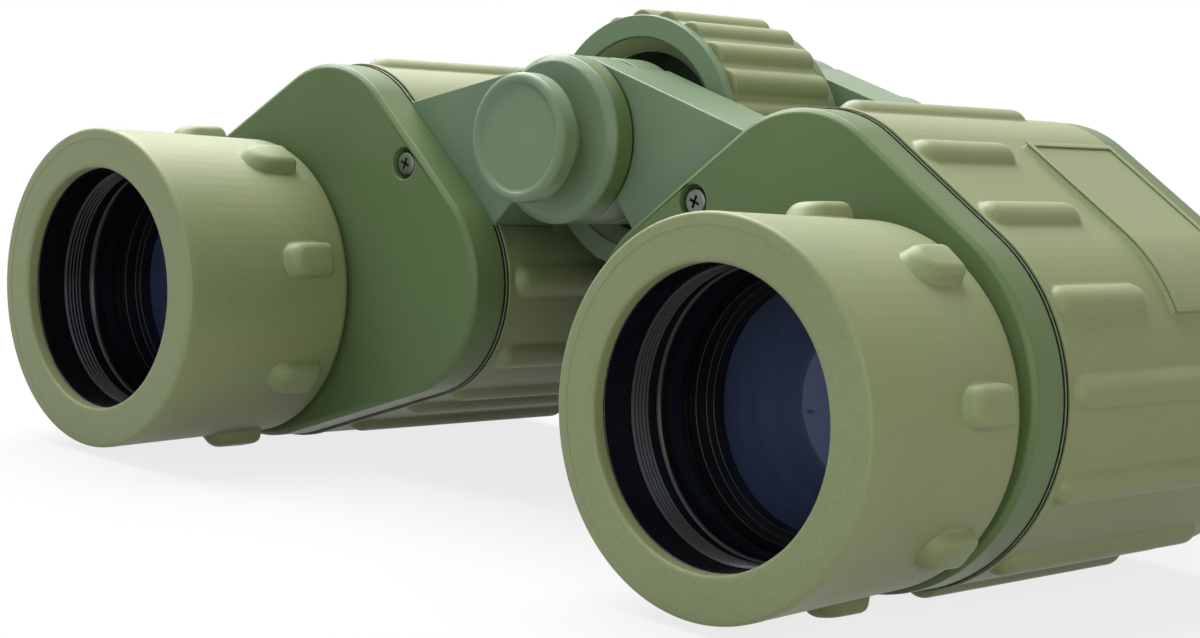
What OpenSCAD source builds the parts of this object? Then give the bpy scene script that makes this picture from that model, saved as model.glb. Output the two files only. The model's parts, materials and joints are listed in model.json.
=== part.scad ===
// Centre-focus prism binocular, objectives towards -Y and eyepieces towards +Y.
// The origin lies on the hinge axis at the front of the hub, in the tripod socket. Lengths are millimetres.
// The left half of the user lies on +X. The right half is its mirror image on -X.

/* [Layout] */
// Distance of each objective axis from the median plane in the resting pose
objective_x = 59.4; // [58.8:0.1:60.2]
// Height of the hinge axis above the objective axes
objective_drop = 27.4; // [26.8:0.1:28]
// Sideways offset that one prism gives the beam
prism_shift = 22.7; // [22.3:0.1:23]
// Direction of the first offset, from outwards turning upwards, in degrees
fold_angle = 127.6; // [126:0.2:129]

/* [Body outline] */
// Radius of the body round the objective axis
objective_lobe_r = 24.3; // [23.8:0.1:25]
// How far that round sits towards the prisms from the objective axis
objective_lobe_shift = 1.4; // [1:0.1:1.8]
// Radius of the body round the top of the prisms
prism_lobe_r = 16.9; // [16.6:0.1:17.4]
// Radius of the body round the eyepiece axis
eyepiece_lobe_r = 16.4; // [16.1:0.1:16.8]

/* [Housing] */
// Length of the prism housing between the covers
housing_length = 49; // [48:0.5:52]
// Wall of the prism housing
housing_wall = 2.2; // [1.8:0.1:2.5]
// Depth of the front and rear covers
cover_depth = 5.9; // [5.5:0.1:6.5]
// Wall of the covers
cover_wall = 1.9; // [1.5:0.1:2.2]
// Bevel round the outer edge of the front cover
cover_bevel = 0.6; // [0.4:0.1:1]
// Bevel round the outer edge of the rear cover
rear_bevel = 2.2; // [1.5:0.1:2.6]
// Width of the bare rim that shows between the front cover and the armour
rim_width = 0.5; // [0.3:0.1:0.8]

/* [Armour] */
// Thickness of the rubber armour
armour_thickness = 1.6; // [1.3:0.1:1.8]
// Height of the armour above the outline of the covers
armour_proud = 0.1; // [0:0.05:0.2]
// Radius of the round grip ribs
rib_r = 2.5; // [2:0.1:3]
// Height of the ribs above the armour
rib_proud = 1.3; // [0.8:0.1:1.6]
// Distance of the ribs from the front edge of the armour
rib_margin = 1; // [0.8:0.1:1.4]
// Distance of the short ribs from the raised panel behind them
rib_panel_gap = 4.9; // [3:0.1:8]
// Distance of the rib on top of the body from the rear edge of the armour
rib_top_margin = 8.4; // [4:0.1:12]
// Distance of the ribs that run the whole body from the rear edge of the armour
rib_rear_margin = 1.4; // [0.8:0.1:4]
// Height of the raised bare panel on the outer shoulder
panel_proud = 0.6; // [0.3:0.1:1]
// Length of the raised panel along the body
panel_length = 20; // [16:0.5:22]
// Distance of the raised panel from the rear edge of the armour
panel_margin = 2; // [1:0.5:3]
// Direction of the upper edge of the panel from the objective axis, in degrees
panel_top_angle = 95; // [90:1:96]
// Direction of the lower edge of the panel from the objective axis, in degrees
panel_angle = 29; // [26:1:34]

/* [Objectives] */
// Outer radius of the rubber sleeve at its front edge
sleeve_r = 23.25; // [22.9:0.05:23.4]
// Outer radius of the rubber sleeve at its rear edge
sleeve_rear_r = 22.4; // [22:0.1:22.8]
// Length of the rubber sleeve
sleeve_length = 29.8; // [28.5:0.1:32]
// Radius of the round front edge of the sleeve
sleeve_edge = 1.5; // [1:0.1:1.8]
// Thickness of the sleeve lip in front of the barrel
lip_length = 2; // [1.5:0.1:3]
// Free radius inside the objective barrel
hood_r = 17.5; // [17.2:0.1:17.8]
// Wall of the objective barrel
barrel_wall = 1.9; // [1.6:0.1:2.1]
// Depth of the front of the glass behind the sleeve edge
lens_depth = 20.7; // [19.5:0.1:22]
// Thickness of the objective at its rim
lens_rim = 7; // [6:0.5:8]
// Clear radius of the objective
clear_r = 15; // [14.5:0.1:15.5]
// Curvature radius of the front of the objective
lens_curve = 60; // [50:1:90]
// Number of grip pills round each sleeve
pill_count = 8; // [6:1:10]
// Length of a grip pill
pill_length = 9; // [8:0.5:11]
// Radius of a grip pill
pill_r = 2.75; // [2.4:0.05:3]
// Height of a pill above the sleeve
pill_proud = 1.8; // [1.2:0.1:2.1]
// Distance of the pill centres from the rear edge of the sleeve
pill_from_rear = 8.3; // [7.5:0.1:10]
// Turn of the first pill on the left sleeve, in degrees
pill_turn_left = 9.6; // [0:0.2:45]
// Turn of the first pill on the right sleeve, in degrees
pill_turn_right = 28.6; // [0:0.2:45]

/* [Hinge] */
// Radius of the front hinge knuckles and of the hub in front of them
front_knuckle_r = 11.65; // [11.2:0.05:12]
// Radius of the rear hinge knuckles
rear_knuckle_r = 13.9; // [13.4:0.1:14.2]
// Length of the front hub
hub_length = 4.3; // [4:0.1:5]
// Bevel on the front edge of the hub
hub_bevel = 1; // [0.5:0.1:1.4]
// Thickness of the front arms along the hinge
front_arm_length = 12; // [11:0.5:12.5]
// Thickness of the rear arms along the hinge
rear_arm_length = 9.9; // [9:0.1:11]
// Slope of the top edge of the arms, in degrees
arm_slope = 15.2; // [14:0.2:17]
// Slope of the bottom edge of the arms, in degrees
arm_undercut = 47.6; // [45:0.2:50]
// Distance of the bottom edge of the arms above the hinge axis
arm_undercut_rise = 1.65; // [1:0.05:2]
// Length of the top edge of the arms from the hinge into the body
arm_reach = 35.6; // [34:0.2:38]
// Length of the bottom edge of the arms from the hinge into the body
arm_low_reach = 28.5; // [27:0.1:30]
// Radius of the front hinge pin
pin_r = 5.5; // [5.2:0.1:6]
// Outer radius of the rear hinge tube
tube_r = 6.5; // [6.2:0.1:7]
// Thickness of the hinge washers
washer_thickness = 0.7; // [0.5:0.1:1]
// Distance of the edge of a washer from the face of the knuckles
washer_inset = 1; // [0.6:0.1:1.5]
// Radius of the tripod thread, a quarter inch across
socket_r = 3.175; // [3:0.025:3.3]
// Depth of the tripod socket
socket_depth = 6.5; // [6:0.5:8]
// Outer radius of the spigot round the mouth of the socket
spigot_r = 4.6; // [4.3:0.1:5]
// Radius of the tripod cap
cap_r = 8.85; // [8.4:0.05:9.2]
// Thickness of the head of the tripod cap
cap_head = 3; // [2.6:0.1:3.4]
// Width of the raised rim round the face of the tripod cap
cap_rim = 1.75; // [1.5:0.05:2.2]
// Depth of the face of the tripod cap below its rim
cap_dish = 0.5; // [0.3:0.1:0.8]
// Length of the neck of the tripod cap
cap_neck = 3.6; // [3:0.1:4.2]

/* [Focus] */
// Gap between the focus wheel and the rear arms
wheel_rear_gap = 2.4; // [1:0.1:4]
// Length of the plain flange at each end of the wheel
wheel_flange = 1.7; // [1.2:0.1:2]
// Height of the finger lobes over the grip between them
lobe_height = 1; // [0.6:0.1:1.2]
// Radius of a finger lobe as a share of half its pitch
lobe_fullness = 0.93; // [0.85:0.01:1]
// Number of finger lobes round the grip
lobe_count = 22; // [18:1:24]
// Wall of the wheel rim
wheel_rim = 2.3; // [2:0.1:2.6]
// Depth of the hollow in the front of the wheel
wheel_hollow = 15; // [12:0.5:16]
// Radius of the focus spindle
spindle_r = 4; // [3.6:0.1:4.2]
// Length of the spindle beyond its nut at the end of the travel
spindle_lead = 1; // [0.5:0.1:2]
// Focus travel to each side of the resting place
focus_travel = 3; // [2:0.5:3]

/* [Eyepieces] */
// Outer radius of the guide tube
guide_r = 13; // [12.8:0.1:13.4]
// Length of the guide tube behind the rear cover
guide_length = 9; // [8:0.5:9.5]
// Outer radius of the sliding eyepiece barrel
ocular_r = 11; // [10.8:0.1:11.2]
// Wall of the sliding eyepiece barrel
ocular_wall = 1.4; // [1.2:0.1:1.6]
// Radius of the eyepiece head inside the eyecup
ocular_head_r = 14.4; // [14:0.1:14.8]
// Length of the eyepiece head
ocular_head = 8; // [7:0.5:9]
// Outer radius of the rubber eyecup
eyecup_r = 17.6; // [17:0.1:18]
// Length of the rubber eyecup
eyecup_length = 15; // [14:0.5:16]
// Thickness of the bridge arms
bridge_length = 7; // [6.6:0.2:7.6]
// Radius of the bridge knuckles on the spindle
bridge_knuckle_r = 9; // [8.5:0.1:10]
// Bevel, inset and slot width of the cap behind the bridge knuckles
cap_edge = 1; // [0.6:0.1:1.3]
// Radius of the bridge ring round the eyepiece
bridge_ring_r = 15; // [14.4:0.1:15.6]
// Half width of the bridge arm
bridge_half_w = 6; // [5:0.1:6.4]
// Thickness of the flange on the right ocular carrier
carrier_flange = 2; // [1.6:0.1:2.4]
// Length of the dioptre ring
dioptre_length = 4.3; // [4:0.1:5]
// Number of grip notches round the dioptre ring
dioptre_notches = 24; // [16:1:30]
// Dioptre travel to each side of the resting place
dioptre_travel = 1.5; // [1:0.1:1.5]

/* [Prisms] */
// Width of a prism, the aperture that it passes
prism_w = 17; // [16:0.1:17.2]
// Width of the flat on the ridge of a prism
prism_flat = 3; // [2:0.5:5]
// Thickness of the prism shelf
shelf_thickness = 2.4; // [2:0.1:3]
// Width of the ledge on the shelf round the beam
shelf_ledge = 1; // [0.6:0.1:1.5]
// Thickness of the spring clips over the prisms
clip_thickness = 0.6; // [0.4:0.1:0.8]
// Width of the spring clips
clip_width = 5; // [4:0.5:7]

/* [Strap lugs and screws] */
// Free width of the strap slot
slot_width = 10; // [8:0.5:12]
// Free height of the strap slot
slot_height = 4.6; // [4.4:0.1:5.2]
// Thickness of the bar round the strap slot
lug_bar = 2; // [1.6:0.1:2.4]
// Direction of the lug from the objective axis, in degrees above outwards
lug_angle = 0; // [-5:1:5]
// Head radius of the cover screws
screw_head_r = 2.2; // [2:0.1:2.4]
// Height of the heads of the cover screws
screw_head_h = 1.3; // [1:0.1:1.5]
// Depth of the screw heads below the face of the covers
screw_sink = 0.4; // [0:0.1:0.6]
// Shank radius of the cover screws
screw_shank_r = 1.25; // [1:0.05:1.4]
// Direction of the lower rear screw from the objective axis, in degrees
low_screw_angle = -55; // [-65:1:-45]
// Wall of the bosses that take the screws
boss_wall = 1.4; // [1.2:0.1:1.6]
// Length of the bosses that take the screws
boss_length = 8; // [7:0.5:10]
// Gap between the tip of a screw and the floor of its boss
tip_gap = 1; // [0.5:0.1:2]
// Distance of the screws from the edge of the covers
screw_inset = 3.2; // [3:0.1:3.6]

/* [Clearances] */
// Radial clearance of pins, tubes and barrels
running_fit = 0.05; // [0.03:0.01:0.08]
// Gap between pieces that are seated on one another
seat_gap = 0.05; // [0.03:0.01:0.1]
// Gap between faces that move past one another
moving_gap = 0.4; // [0.3:0.05:0.5]
// Gap between the body and the rubber sleeve
sleeve_gap = 0.5; // [0.3:0.05:0.7]
// Gap between the finger lobes and the two bodies
wheel_gap = 0.5; // [0.4:0.05:0.6]

/* [Hidden] */
$fn = 96;
// How far a cut runs past the face that it opens
OVER = 1;
// How far straight sides are tucked into the rounds that they join
TUCK = 0.01;
// Places of the ribs: directions from the lobes in degrees, shares of the way along the straight sides
SHORT_RIB_SHARES = [0.22, 0.84];
SHORT_RIB_ANGLE = 34;
TOP_RIB_ANGLE = 90;
OUTER_RIB_ANGLES = [8, -20, -50, -80];
INNER_RIB_ANGLES = [172, 214, 252];
UNDER_RIB_SHARES = [0.35, 0.8];
SLEEVE_GREEN = "#8f9578";
COVER_GREEN = "#59634a";
ARM_GREEN = "#7c8a78";
BLACK = "#1b1c1d";
GLASS = "#8fb4d8";
STEEL = "#c9ccd0";

// Beam points seen from the front: objective, between the prisms, eyepiece
function polar(angle, r) = [r * cos(angle), r * sin(angle)];
beam_a = [0, 0];
beam_b = polar(fold_angle, prism_shift);
beam_c = beam_b + polar(fold_angle + 90, prism_shift);
eye = [objective_x, -objective_drop] + beam_c;
eye_r = norm(eye);

// Lobes of the body outline as discs of centre and radius, anticlockwise
lobes = [
    [polar(fold_angle, objective_lobe_shift), objective_lobe_r],
    [beam_b, prism_lobe_r],
    [beam_c, eyepiece_lobe_r]
];

// Places along the hinge axis
arm_front = hub_length + seat_gap * 4;
cover_rear = arm_front - seat_gap;
cover_front = cover_rear - cover_depth;
sleeve_rear = cover_front - sleeve_gap;
sleeve_front = sleeve_rear - sleeve_length;
housing_rear = arm_front + housing_length;
armour_front = arm_front + rim_width + seat_gap;
armour_rear = housing_rear - seat_gap;
rear_cover_front = housing_rear + seat_gap;
rear_cover_rear = rear_cover_front + cover_depth;
front_arm_rear = arm_front + front_arm_length;
rear_arm_front = housing_rear - rear_arm_length;
front_split = (arm_front + front_arm_rear) / 2;
rear_split = (rear_arm_front + housing_rear) / 2;
split_gap = washer_thickness / 2 + seat_gap;
wheel_front = front_arm_rear + 2 * moving_gap;
wheel_rear = rear_arm_front - wheel_rear_gap;
guide_rear = rear_cover_rear + guide_length;
bridge_front = guide_rear + focus_travel + 2 * moving_gap;
bridge_rear = bridge_front + bridge_length;
bridge_split = (bridge_front + bridge_rear) / 2;
bridge_mid = [bridge_split - moving_gap / 2, bridge_split + moving_gap / 2];
eyecup_rear = bridge_rear + seat_gap + eyecup_length;

// Radii that follow from their neighbours
grip_r = eye_r - eyepiece_lobe_r - armour_proud - wheel_gap;
grip_valley_r = grip_r - lobe_height;
rim_r = grip_valley_r - wheel_flange / 2;
barrel_r = hood_r + barrel_wall;
lens_r = hood_r - running_fit;
lens_front = sleeve_front + lens_depth;
ocular_bore = ocular_r - ocular_wall;
tube_bore = spindle_r + running_fit;
spigot_front = -2 * cap_neck / 3;
prism_length = prism_shift + prism_w;
prism_height = (prism_length - prism_flat) / 2;
shelf_front = (arm_front + rear_cover_rear - cover_wall - shelf_thickness) / 2;
shelf_rear = shelf_front + shelf_thickness;

// Common tangents of two discs, for outlines that run anticlockwise
function tangent_angle(a, b) =
    let (d = b[0] - a[0]) atan2(d.y, d.x) - 90 + asin((a[1] - b[1]) / norm(d));
function tangent_points(a, b) =
    let (angle = tangent_angle(a, b)) [a[0] + polar(angle, a[1]), b[0] + polar(angle, b[1])];
function grown(discs, grow) = [for (disc = discs) [disc[0], disc[1] + grow]];
function next(discs, i) = discs[(i + 1) % len(discs)];

// A point on the tangent between two lobes, a share of the way along it
function on_tangent(i, share, grow) =
    let (ends = tangent_points(grown(lobes, grow)[i], next(grown(lobes, grow), i)))
    ends[0] + share * (ends[1] - ends[0]);
function tangent_ring(discs) =
    [for (i = [0 : len(discs) - 1]) each tangent_points(discs[i], next(discs, i))];
function on_lobe(i, angle, grow) = lobes[i][0] + polar(angle, lobes[i][1] + grow);

// Outline round a ring of discs with straight tangents between them
module round_outline(discs) {
    for (disc = discs)
        translate(disc[0]) circle(disc[1]);
    polygon(tangent_ring(grown(discs, -TUCK)));
}

// Places a front view, x to the right and y up, between two stations along the body
module along_y(y0, y1) {
    translate([0, y1, 0]) rotate([90, 0, 0]) linear_extrude(y1 - y0) children();
}

// Turns a half section, radius to the right and station upwards, round the Y axis
module turned() {
    rotate([-90, 0, 0]) rotate_extrude() children();
}

module at_objective() {
    translate([objective_x, 0, -objective_drop]) children();
}

module at_eyepiece() {
    translate([eye.x, 0, eye.y]) children();
}

module mirrored() {
    mirror([1, 0, 0]) children();
}

// Half section of a ring
module ring_section(r0, r1, y0, y1) {
    translate([r0, y0]) square([r1 - r0, y1 - y0]);
}

module tube(r0, r1, y0, y1) {
    turned() ring_section(r0, r1, y0, y1);
}

module rod(r, y0, y1) {
    translate([0, y0, 0]) rotate([-90, 0, 0]) cylinder(r = r, h = y1 - y0);
}

// A bar with ball ends along the body
module capsule(r, y0, y1) {
    rod(r, y0 + r, y1 - r);
    translate([0, y0 + r, 0]) sphere(r);
    translate([0, y1 - r, 0]) sphere(r);
}

module body_outline(grow) {
    translate([objective_x, -objective_drop]) round_outline(grown(lobes, grow));
}

// Faces of a solid between two rings of points
function ring_faces(count) = [
    [for (i = [count - 1 : -1 : 0]) i],
    [for (i = [0 : count - 1]) count + i],
    for (i = [0 : count - 1]) [i, (i + 1) % count, count + (i + 1) % count, count + i]
];
function reversed(list) = [for (i = [len(list) - 1 : -1 : 0]) list[i]];
function at_station(ring, y) = [for (p = ring) [p.x, y, p.y]];

// A slice of the body outline at the face y0, bevelled round its edge.
// Each lobe is a cone, and flats run between the cones.
module bevelled_slice(y0, way, bevel) {
    y1 = y0 + way * 2 * bevel;
    y_mid = y0 + way * 3 / 2 * bevel;
    face_ring = tangent_ring(grown(lobes, -bevel - TUCK));
    far_ring = tangent_ring(grown(lobes, bevel - TUCK));
    faces = ring_faces(len(far_ring));
    intersection() {
        along_y(min(y0, y_mid), max(y0, y_mid)) body_outline(0);
        at_objective() {
            for (lobe = lobes)
                translate([lobe[0].x, y0, lobe[0].y]) rotate([-90 * way, 0, 0])
                    cylinder(r1 = lobe[1] - bevel, r2 = lobe[1] + bevel, h = 2 * bevel);
            polyhedron(
                concat(at_station(face_ring, y0), at_station(far_ring, y1)),
                way > 0 ? faces : [for (face = faces) reversed(face)]
            );
        }
    }
}

// Places a child at a point of the body outline
module at_point(p) {
    translate([objective_x + p.x, 0, p.y - objective_drop]) children();
}

// Objective pieces

module objective_sleeve(turn) {
    inner_edge = sleeve_edge / 3;
    section = [
        [[hood_r + inner_edge, sleeve_front + inner_edge], inner_edge],
        [[sleeve_r - sleeve_edge, sleeve_front + sleeve_edge], sleeve_edge],
        [[sleeve_rear_r - sleeve_edge, sleeve_rear - sleeve_edge], sleeve_edge],
        [[hood_r + inner_edge, sleeve_rear - inner_edge], inner_edge]
    ];
    pill_mid = sleeve_rear - pill_from_rear;
    rear_share = pill_from_rear / sleeve_length;
    pill_axis_r = sleeve_rear_r + (sleeve_r - sleeve_rear_r) * rear_share + pill_proud - pill_r;
    color(SLEEVE_GREEN) at_objective() difference() {
        union() {
            turned() round_outline(section);
            for (i = [0 : pill_count - 1])
                rotate([0, -turn - i * 360 / pill_count, 0]) translate([pill_axis_r, 0, 0])
                    capsule(pill_r, pill_mid - pill_length / 2, pill_mid + pill_length / 2);
        }
        rod(barrel_r + seat_gap, sleeve_front + lip_length, sleeve_rear + OVER);
    }
}

module objective_barrel() {
    flange_front = cover_front + cover_wall + seat_gap;
    flange_rear = flange_front + cover_wall;
    flange_r = (barrel_r + objective_lobe_r - objective_lobe_shift - cover_wall) / 2;
    shoulder = lens_front + lens_rim + seat_gap;
    color(BLACK) at_objective() turned() {
        ring_section(hood_r, barrel_r, sleeve_front + lip_length + seat_gap, flange_rear);
        ring_section(hood_r, flange_r, flange_front, flange_rear);
        ring_section(clear_r, barrel_r, shoulder, shoulder + barrel_wall);
    }
}

// Half section of a lens with its bulge towards -Y
module lens_section(r, clear, y0, rim, curve) {
    sag = curve - sqrt(curve * curve - clear * clear);
    ring_section(0, r, y0, y0 + rim);
    intersection() {
        translate([0, y0 - sag + curve]) circle(curve);
        ring_section(0, clear, y0 - sag - OVER, y0 + rim / 2);
    }
}

module objective_lens() {
    color(GLASS, 0.5) at_objective() turned()
        lens_section(lens_r, clear_r - seat_gap, lens_front, lens_rim, lens_curve);
}

module lens_retainer() {
    rear = lens_front - seat_gap;
    front = rear - 2 * barrel_wall;
    step = (front + rear) / 2;
    color(BLACK) at_objective() turned() {
        ring_section(clear_r, lens_r, step, rear);
        ring_section((clear_r + lens_r) / 2, lens_r, front, step);
    }
}

// Covers and their screws

screw_rel = on_tangent(1, 1 / 2, -screw_inset);
rear_screws = [screw_rel, on_lobe(0, low_screw_angle, -screw_inset)];
boss_r = screw_shank_r + boss_wall;

// A screw with its head at station y0 and its shank running to y1
module cover_screw(y0, y1) {
    way = sign(y1 - y0);
    head_end = y0 + way * screw_head_h;
    slot_end = y0 + way * screw_head_h / 2;
    slot_w = screw_head_r / 4;
    slot_reach = screw_head_r * 2 / 3;
    difference() {
        union() {
            rod(screw_head_r, min(y0, head_end), max(y0, head_end));
            rod(screw_shank_r, min(slot_end, y1), max(slot_end, y1));
        }
        for (turn = [0, 90])
            rotate([0, turn, 0]) translate([-slot_reach, min(y0 - way, slot_end), -slot_w / 2])
                cube([2 * slot_reach, abs(slot_end - y0 + way), slot_w]);
    }
}

module screw_hole(y0, y1) {
    way = sign(y1 - y0);
    head_end = y0 + way * (screw_sink + screw_head_h + seat_gap);
    rod(screw_head_r + seat_gap * 2, min(y0 - way, head_end), max(y0 - way, head_end));
    rod(screw_shank_r + seat_gap * 2, min(y0, y1), max(y0, y1));
}

module front_cover() {
    color(COVER_GREEN) difference() {
        union() {
            along_y(cover_front + cover_bevel, cover_rear) body_outline(0);
            bevelled_slice(cover_front, 1, cover_bevel);
        }
        difference() {
            along_y(cover_front + cover_wall, cover_rear + OVER) body_outline(-cover_wall);
            at_point(screw_rel) rod(boss_r, cover_front, cover_rear + OVER);
        }
        at_objective() rod(barrel_r + seat_gap, cover_front - OVER, cover_rear);
        at_point(screw_rel) screw_hole(cover_front, cover_rear + OVER);
    }
}

module front_cover_screw() {
    color(STEEL) at_point(screw_rel)
        cover_screw(cover_front + screw_sink, arm_front + boss_length - tip_gap);
}

lug_root = on_lobe(0, lug_angle, 0);

module rear_cover() {
    inner_face = rear_cover_rear - cover_wall;
    lug_front = rear_cover_front + seat_gap;
    lug_rear = rear_cover_rear - rear_bevel;
    color(COVER_GREEN) difference() {
        union() {
            along_y(rear_cover_front, rear_cover_rear - rear_bevel) body_outline(0);
            bevelled_slice(rear_cover_rear, -1, rear_bevel);
            at_point(lug_root) rotate([0, -lug_angle, 0]) translate([-cover_wall, lug_front, 0])
                strap_lug(lug_rear - lug_front);
        }
        difference() {
            along_y(rear_cover_front - OVER, inner_face) body_outline(-cover_wall);
            for (p = rear_screws)
                at_point(p) rod(boss_r, rear_cover_front - OVER, inner_face + OVER);
        }
        at_eyepiece() rod(guide_r + seat_gap, rear_cover_front, rear_cover_rear + OVER);
        for (p = rear_screws)
            at_point(p) screw_hole(rear_cover_rear, rear_cover_front - OVER);
    }
}

// Strap loop, its root at x = 0 and its slot along z
module strap_lug(depth) {
    reach = cover_wall + slot_height + lug_bar;
    half_w = slot_width / 2 + lug_bar;
    difference() {
        translate([0, 0, -half_w]) cube([reach, depth, 2 * half_w]);
        translate([cover_wall, -OVER, -slot_width / 2]) cube([slot_height, depth + 2 * OVER, slot_width]);
    }
}

module rear_cover_screws() {
    color(STEEL) for (p = rear_screws)
        at_point(p) cover_screw(rear_cover_rear - screw_sink, housing_rear - boss_length + tip_gap);
}

// Prism housing with its hinge arms

armour_grow = armour_proud - armour_thickness;
housing_grow = armour_grow - seat_gap;
cavity_grow = housing_grow - housing_wall;

// Front view of an arm: its top edge runs off the knuckle, its lower edge is undercut
module arm_outline(knuckle_r, grow) {
    top = polar(90 - arm_slope, knuckle_r + grow);
    low = polar(-90 - arm_undercut, grow - arm_undercut_rise);
    polygon([
        top,
        top + polar(-arm_slope, arm_reach),
        low + polar(-arm_undercut, arm_low_reach),
        low
    ]);
}

// An arm between stations y0 and y1 with its own knuckle from k0 to k1 and room for the other from r0 to r1
module hinge_arm(knuckle_r, bore_r, y0, y1, k0, k1, r0, r1) {
    difference() {
        union() {
            difference() {
                along_y(y0, y1) arm_outline(knuckle_r, 0);
                rod(knuckle_r + moving_gap, r0, r1);
            }
            rod(knuckle_r, k0, k1);
        }
        rod(bore_r, y0 - OVER, y1 + OVER);
    }
}

module prism_housing(front_first) {
    front_mid = [front_split - split_gap, front_split + split_gap];
    rear_mid = [rear_split - split_gap, rear_split + split_gap];
    pin_bore = pin_r + running_fit;
    hinge_bore = tube_r + running_fit;
    hole_r = screw_shank_r + running_fit;
    color(ARM_GREEN) difference() {
        union() {
            difference() {
                union() {
                    along_y(arm_front, housing_rear) body_outline(housing_grow);
                    along_y(arm_front, arm_front + rim_width) body_outline(armour_proud);
                    if (front_first) {
                        hinge_arm(front_knuckle_r, pin_bore, arm_front, front_arm_rear,
                            arm_front, front_mid[0], front_mid[0], front_arm_rear + OVER);
                        hinge_arm(rear_knuckle_r, hinge_bore, rear_arm_front, housing_rear,
                            rear_arm_front, rear_mid[0], rear_mid[0], housing_rear + OVER);
                    } else {
                        hinge_arm(front_knuckle_r, pin_bore, arm_front, front_arm_rear,
                            front_mid[1], front_arm_rear, arm_front - OVER, front_mid[1]);
                        hinge_arm(rear_knuckle_r, hinge_bore, rear_arm_front, housing_rear,
                            rear_mid[1], housing_rear, rear_arm_front - OVER, rear_mid[1]);
                    }
                }
                along_y(arm_front - OVER, housing_rear + OVER) body_outline(cavity_grow);
            }
            housing_boss(screw_rel, arm_front, arm_front + boss_length);
            for (p = rear_screws)
                housing_boss(p, housing_rear - boss_length, housing_rear);
        }
        at_point(screw_rel) rod(hole_r, arm_front - OVER, arm_front + boss_length + OVER);
        for (p = rear_screws)
            at_point(p) rod(hole_r, housing_rear - boss_length - OVER, housing_rear + OVER);
    }
}

// Screw boss on the inner wall of the housing
module housing_boss(p, y0, y1) {
    intersection() {
        at_point(p) rod(boss_r, y0, y1);
        along_y(y0 - OVER, y1 + OVER) body_outline(housing_grow - housing_wall / 2);
    }
}

// Rubber armour

rib_front = armour_front + rib_margin;
rib_grow = armour_proud + rib_proud - rib_r;
panel_rear = armour_rear - panel_margin;
panel_front = panel_rear - panel_length;
short_ribs = [
    for (share = SHORT_RIB_SHARES) on_tangent(0, share, rib_grow),
    on_lobe(0, SHORT_RIB_ANGLE, rib_grow)
];
top_ribs = [on_lobe(1, TOP_RIB_ANGLE, rib_grow)];
long_ribs = [
    for (angle = OUTER_RIB_ANGLES) on_lobe(0, angle, rib_grow),
    for (angle = INNER_RIB_ANGLES) on_lobe(2, angle, rib_grow),
    for (share = UNDER_RIB_SHARES) on_tangent(2, share, rib_grow)
];

module ribs(points, rib_rear) {
    for (p = points)
        at_point(p) capsule(rib_r, rib_front, rib_rear);
}

// Front view of the raised panel, cut from a thicker outline by two directions
module panel_outline() {
    reach = 2 * objective_lobe_r;
    intersection() {
        body_outline(armour_proud + panel_proud);
        translate([objective_x, -objective_drop]) translate(lobes[0][0])
            polygon([[0, 0], polar(panel_angle, reach), polar(panel_top_angle, reach)]);
    }
}

module housing_armour() {
    color(SLEEVE_GREEN) difference() {
        union() {
            along_y(armour_front, armour_rear) body_outline(armour_proud);
            ribs(short_ribs, panel_front - rib_panel_gap);
            ribs(top_ribs, armour_rear - rib_top_margin);
            ribs(long_ribs, armour_rear - rib_rear_margin);
            along_y(panel_front, panel_rear) panel_outline();
        }
        along_y(armour_front - OVER, armour_rear + OVER) body_outline(armour_grow);
        along_y(arm_front - OVER, front_arm_rear + seat_gap) arm_outline(front_knuckle_r, seat_gap);
        along_y(rear_arm_front - seat_gap, housing_rear + OVER) arm_outline(rear_knuckle_r, seat_gap);
    }
}

// Prisms, shelf and clips

// Places a prism over the gap between two beam points, its long face at station y0
module over_beams(p, q, y0) {
    middle = (p + q) / 2;
    line = q - p;
    at_point(middle) translate([0, y0, 0]) rotate([0, -atan2(line.y, line.x), 0]) children();
}

module prism_body() {
    linear_extrude(prism_w, center = true)
        polygon([
            [-prism_length / 2, 0],
            [prism_length / 2, 0],
            [prism_flat / 2, prism_height],
            [-prism_flat / 2, prism_height]
        ]);
}

module prism_rear() {
    color(GLASS, 0.5) over_beams(beam_a, beam_b, shelf_rear + seat_gap) prism_body();
}

module prism_front() {
    color(GLASS, 0.5) over_beams(beam_b, beam_c, shelf_front - seat_gap) mirror([0, 1, 0]) prism_body();
}

module prism_shelf() {
    hole_r = prism_w / 2 - shelf_ledge;
    color(BLACK) difference() {
        along_y(shelf_front, shelf_rear) body_outline(cavity_grow - seat_gap);
        for (p = [beam_a, beam_b, beam_c])
            at_point(p) rod(hole_r, shelf_front - OVER, shelf_rear + OVER);
    }
}

// Spring strap over the ridge of a prism, its feet on the shelf
module prism_clip() {
    room = prism_w / 2 + seat_gap;
    top = prism_height + seat_gap;
    translate([-clip_width / 2, 0, 0]) difference() {
        translate([0, 0, -room - clip_thickness])
            cube([clip_width, top + clip_thickness, 2 * (room + clip_thickness)]);
        translate([-OVER, -OVER, -room]) cube([clip_width + 2 * OVER, top + OVER, 2 * room]);
    }
}

module prism_clips() {
    color(STEEL) {
        over_beams(beam_a, beam_b, shelf_rear + seat_gap) prism_clip();
        over_beams(beam_b, beam_c, shelf_front - seat_gap) mirror([0, 1, 0]) prism_clip();
    }
}

// Eyepieces

head_front = bridge_rear + seat_gap;
head_rear = head_front + ocular_head;
ocular_front = rear_cover_rear;
right_head_front = head_front + carrier_flange + dioptre_travel + moving_gap;
right_cup_front = head_front + dioptre_length + dioptre_travel + moving_gap;
right_ocular_r = ocular_bore - running_fit;
right_ocular_bore = right_ocular_r - ocular_wall;
dioptre_bore = ocular_head_r + moving_gap;
dioptre_r = eyecup_r - moving_gap;

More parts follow.
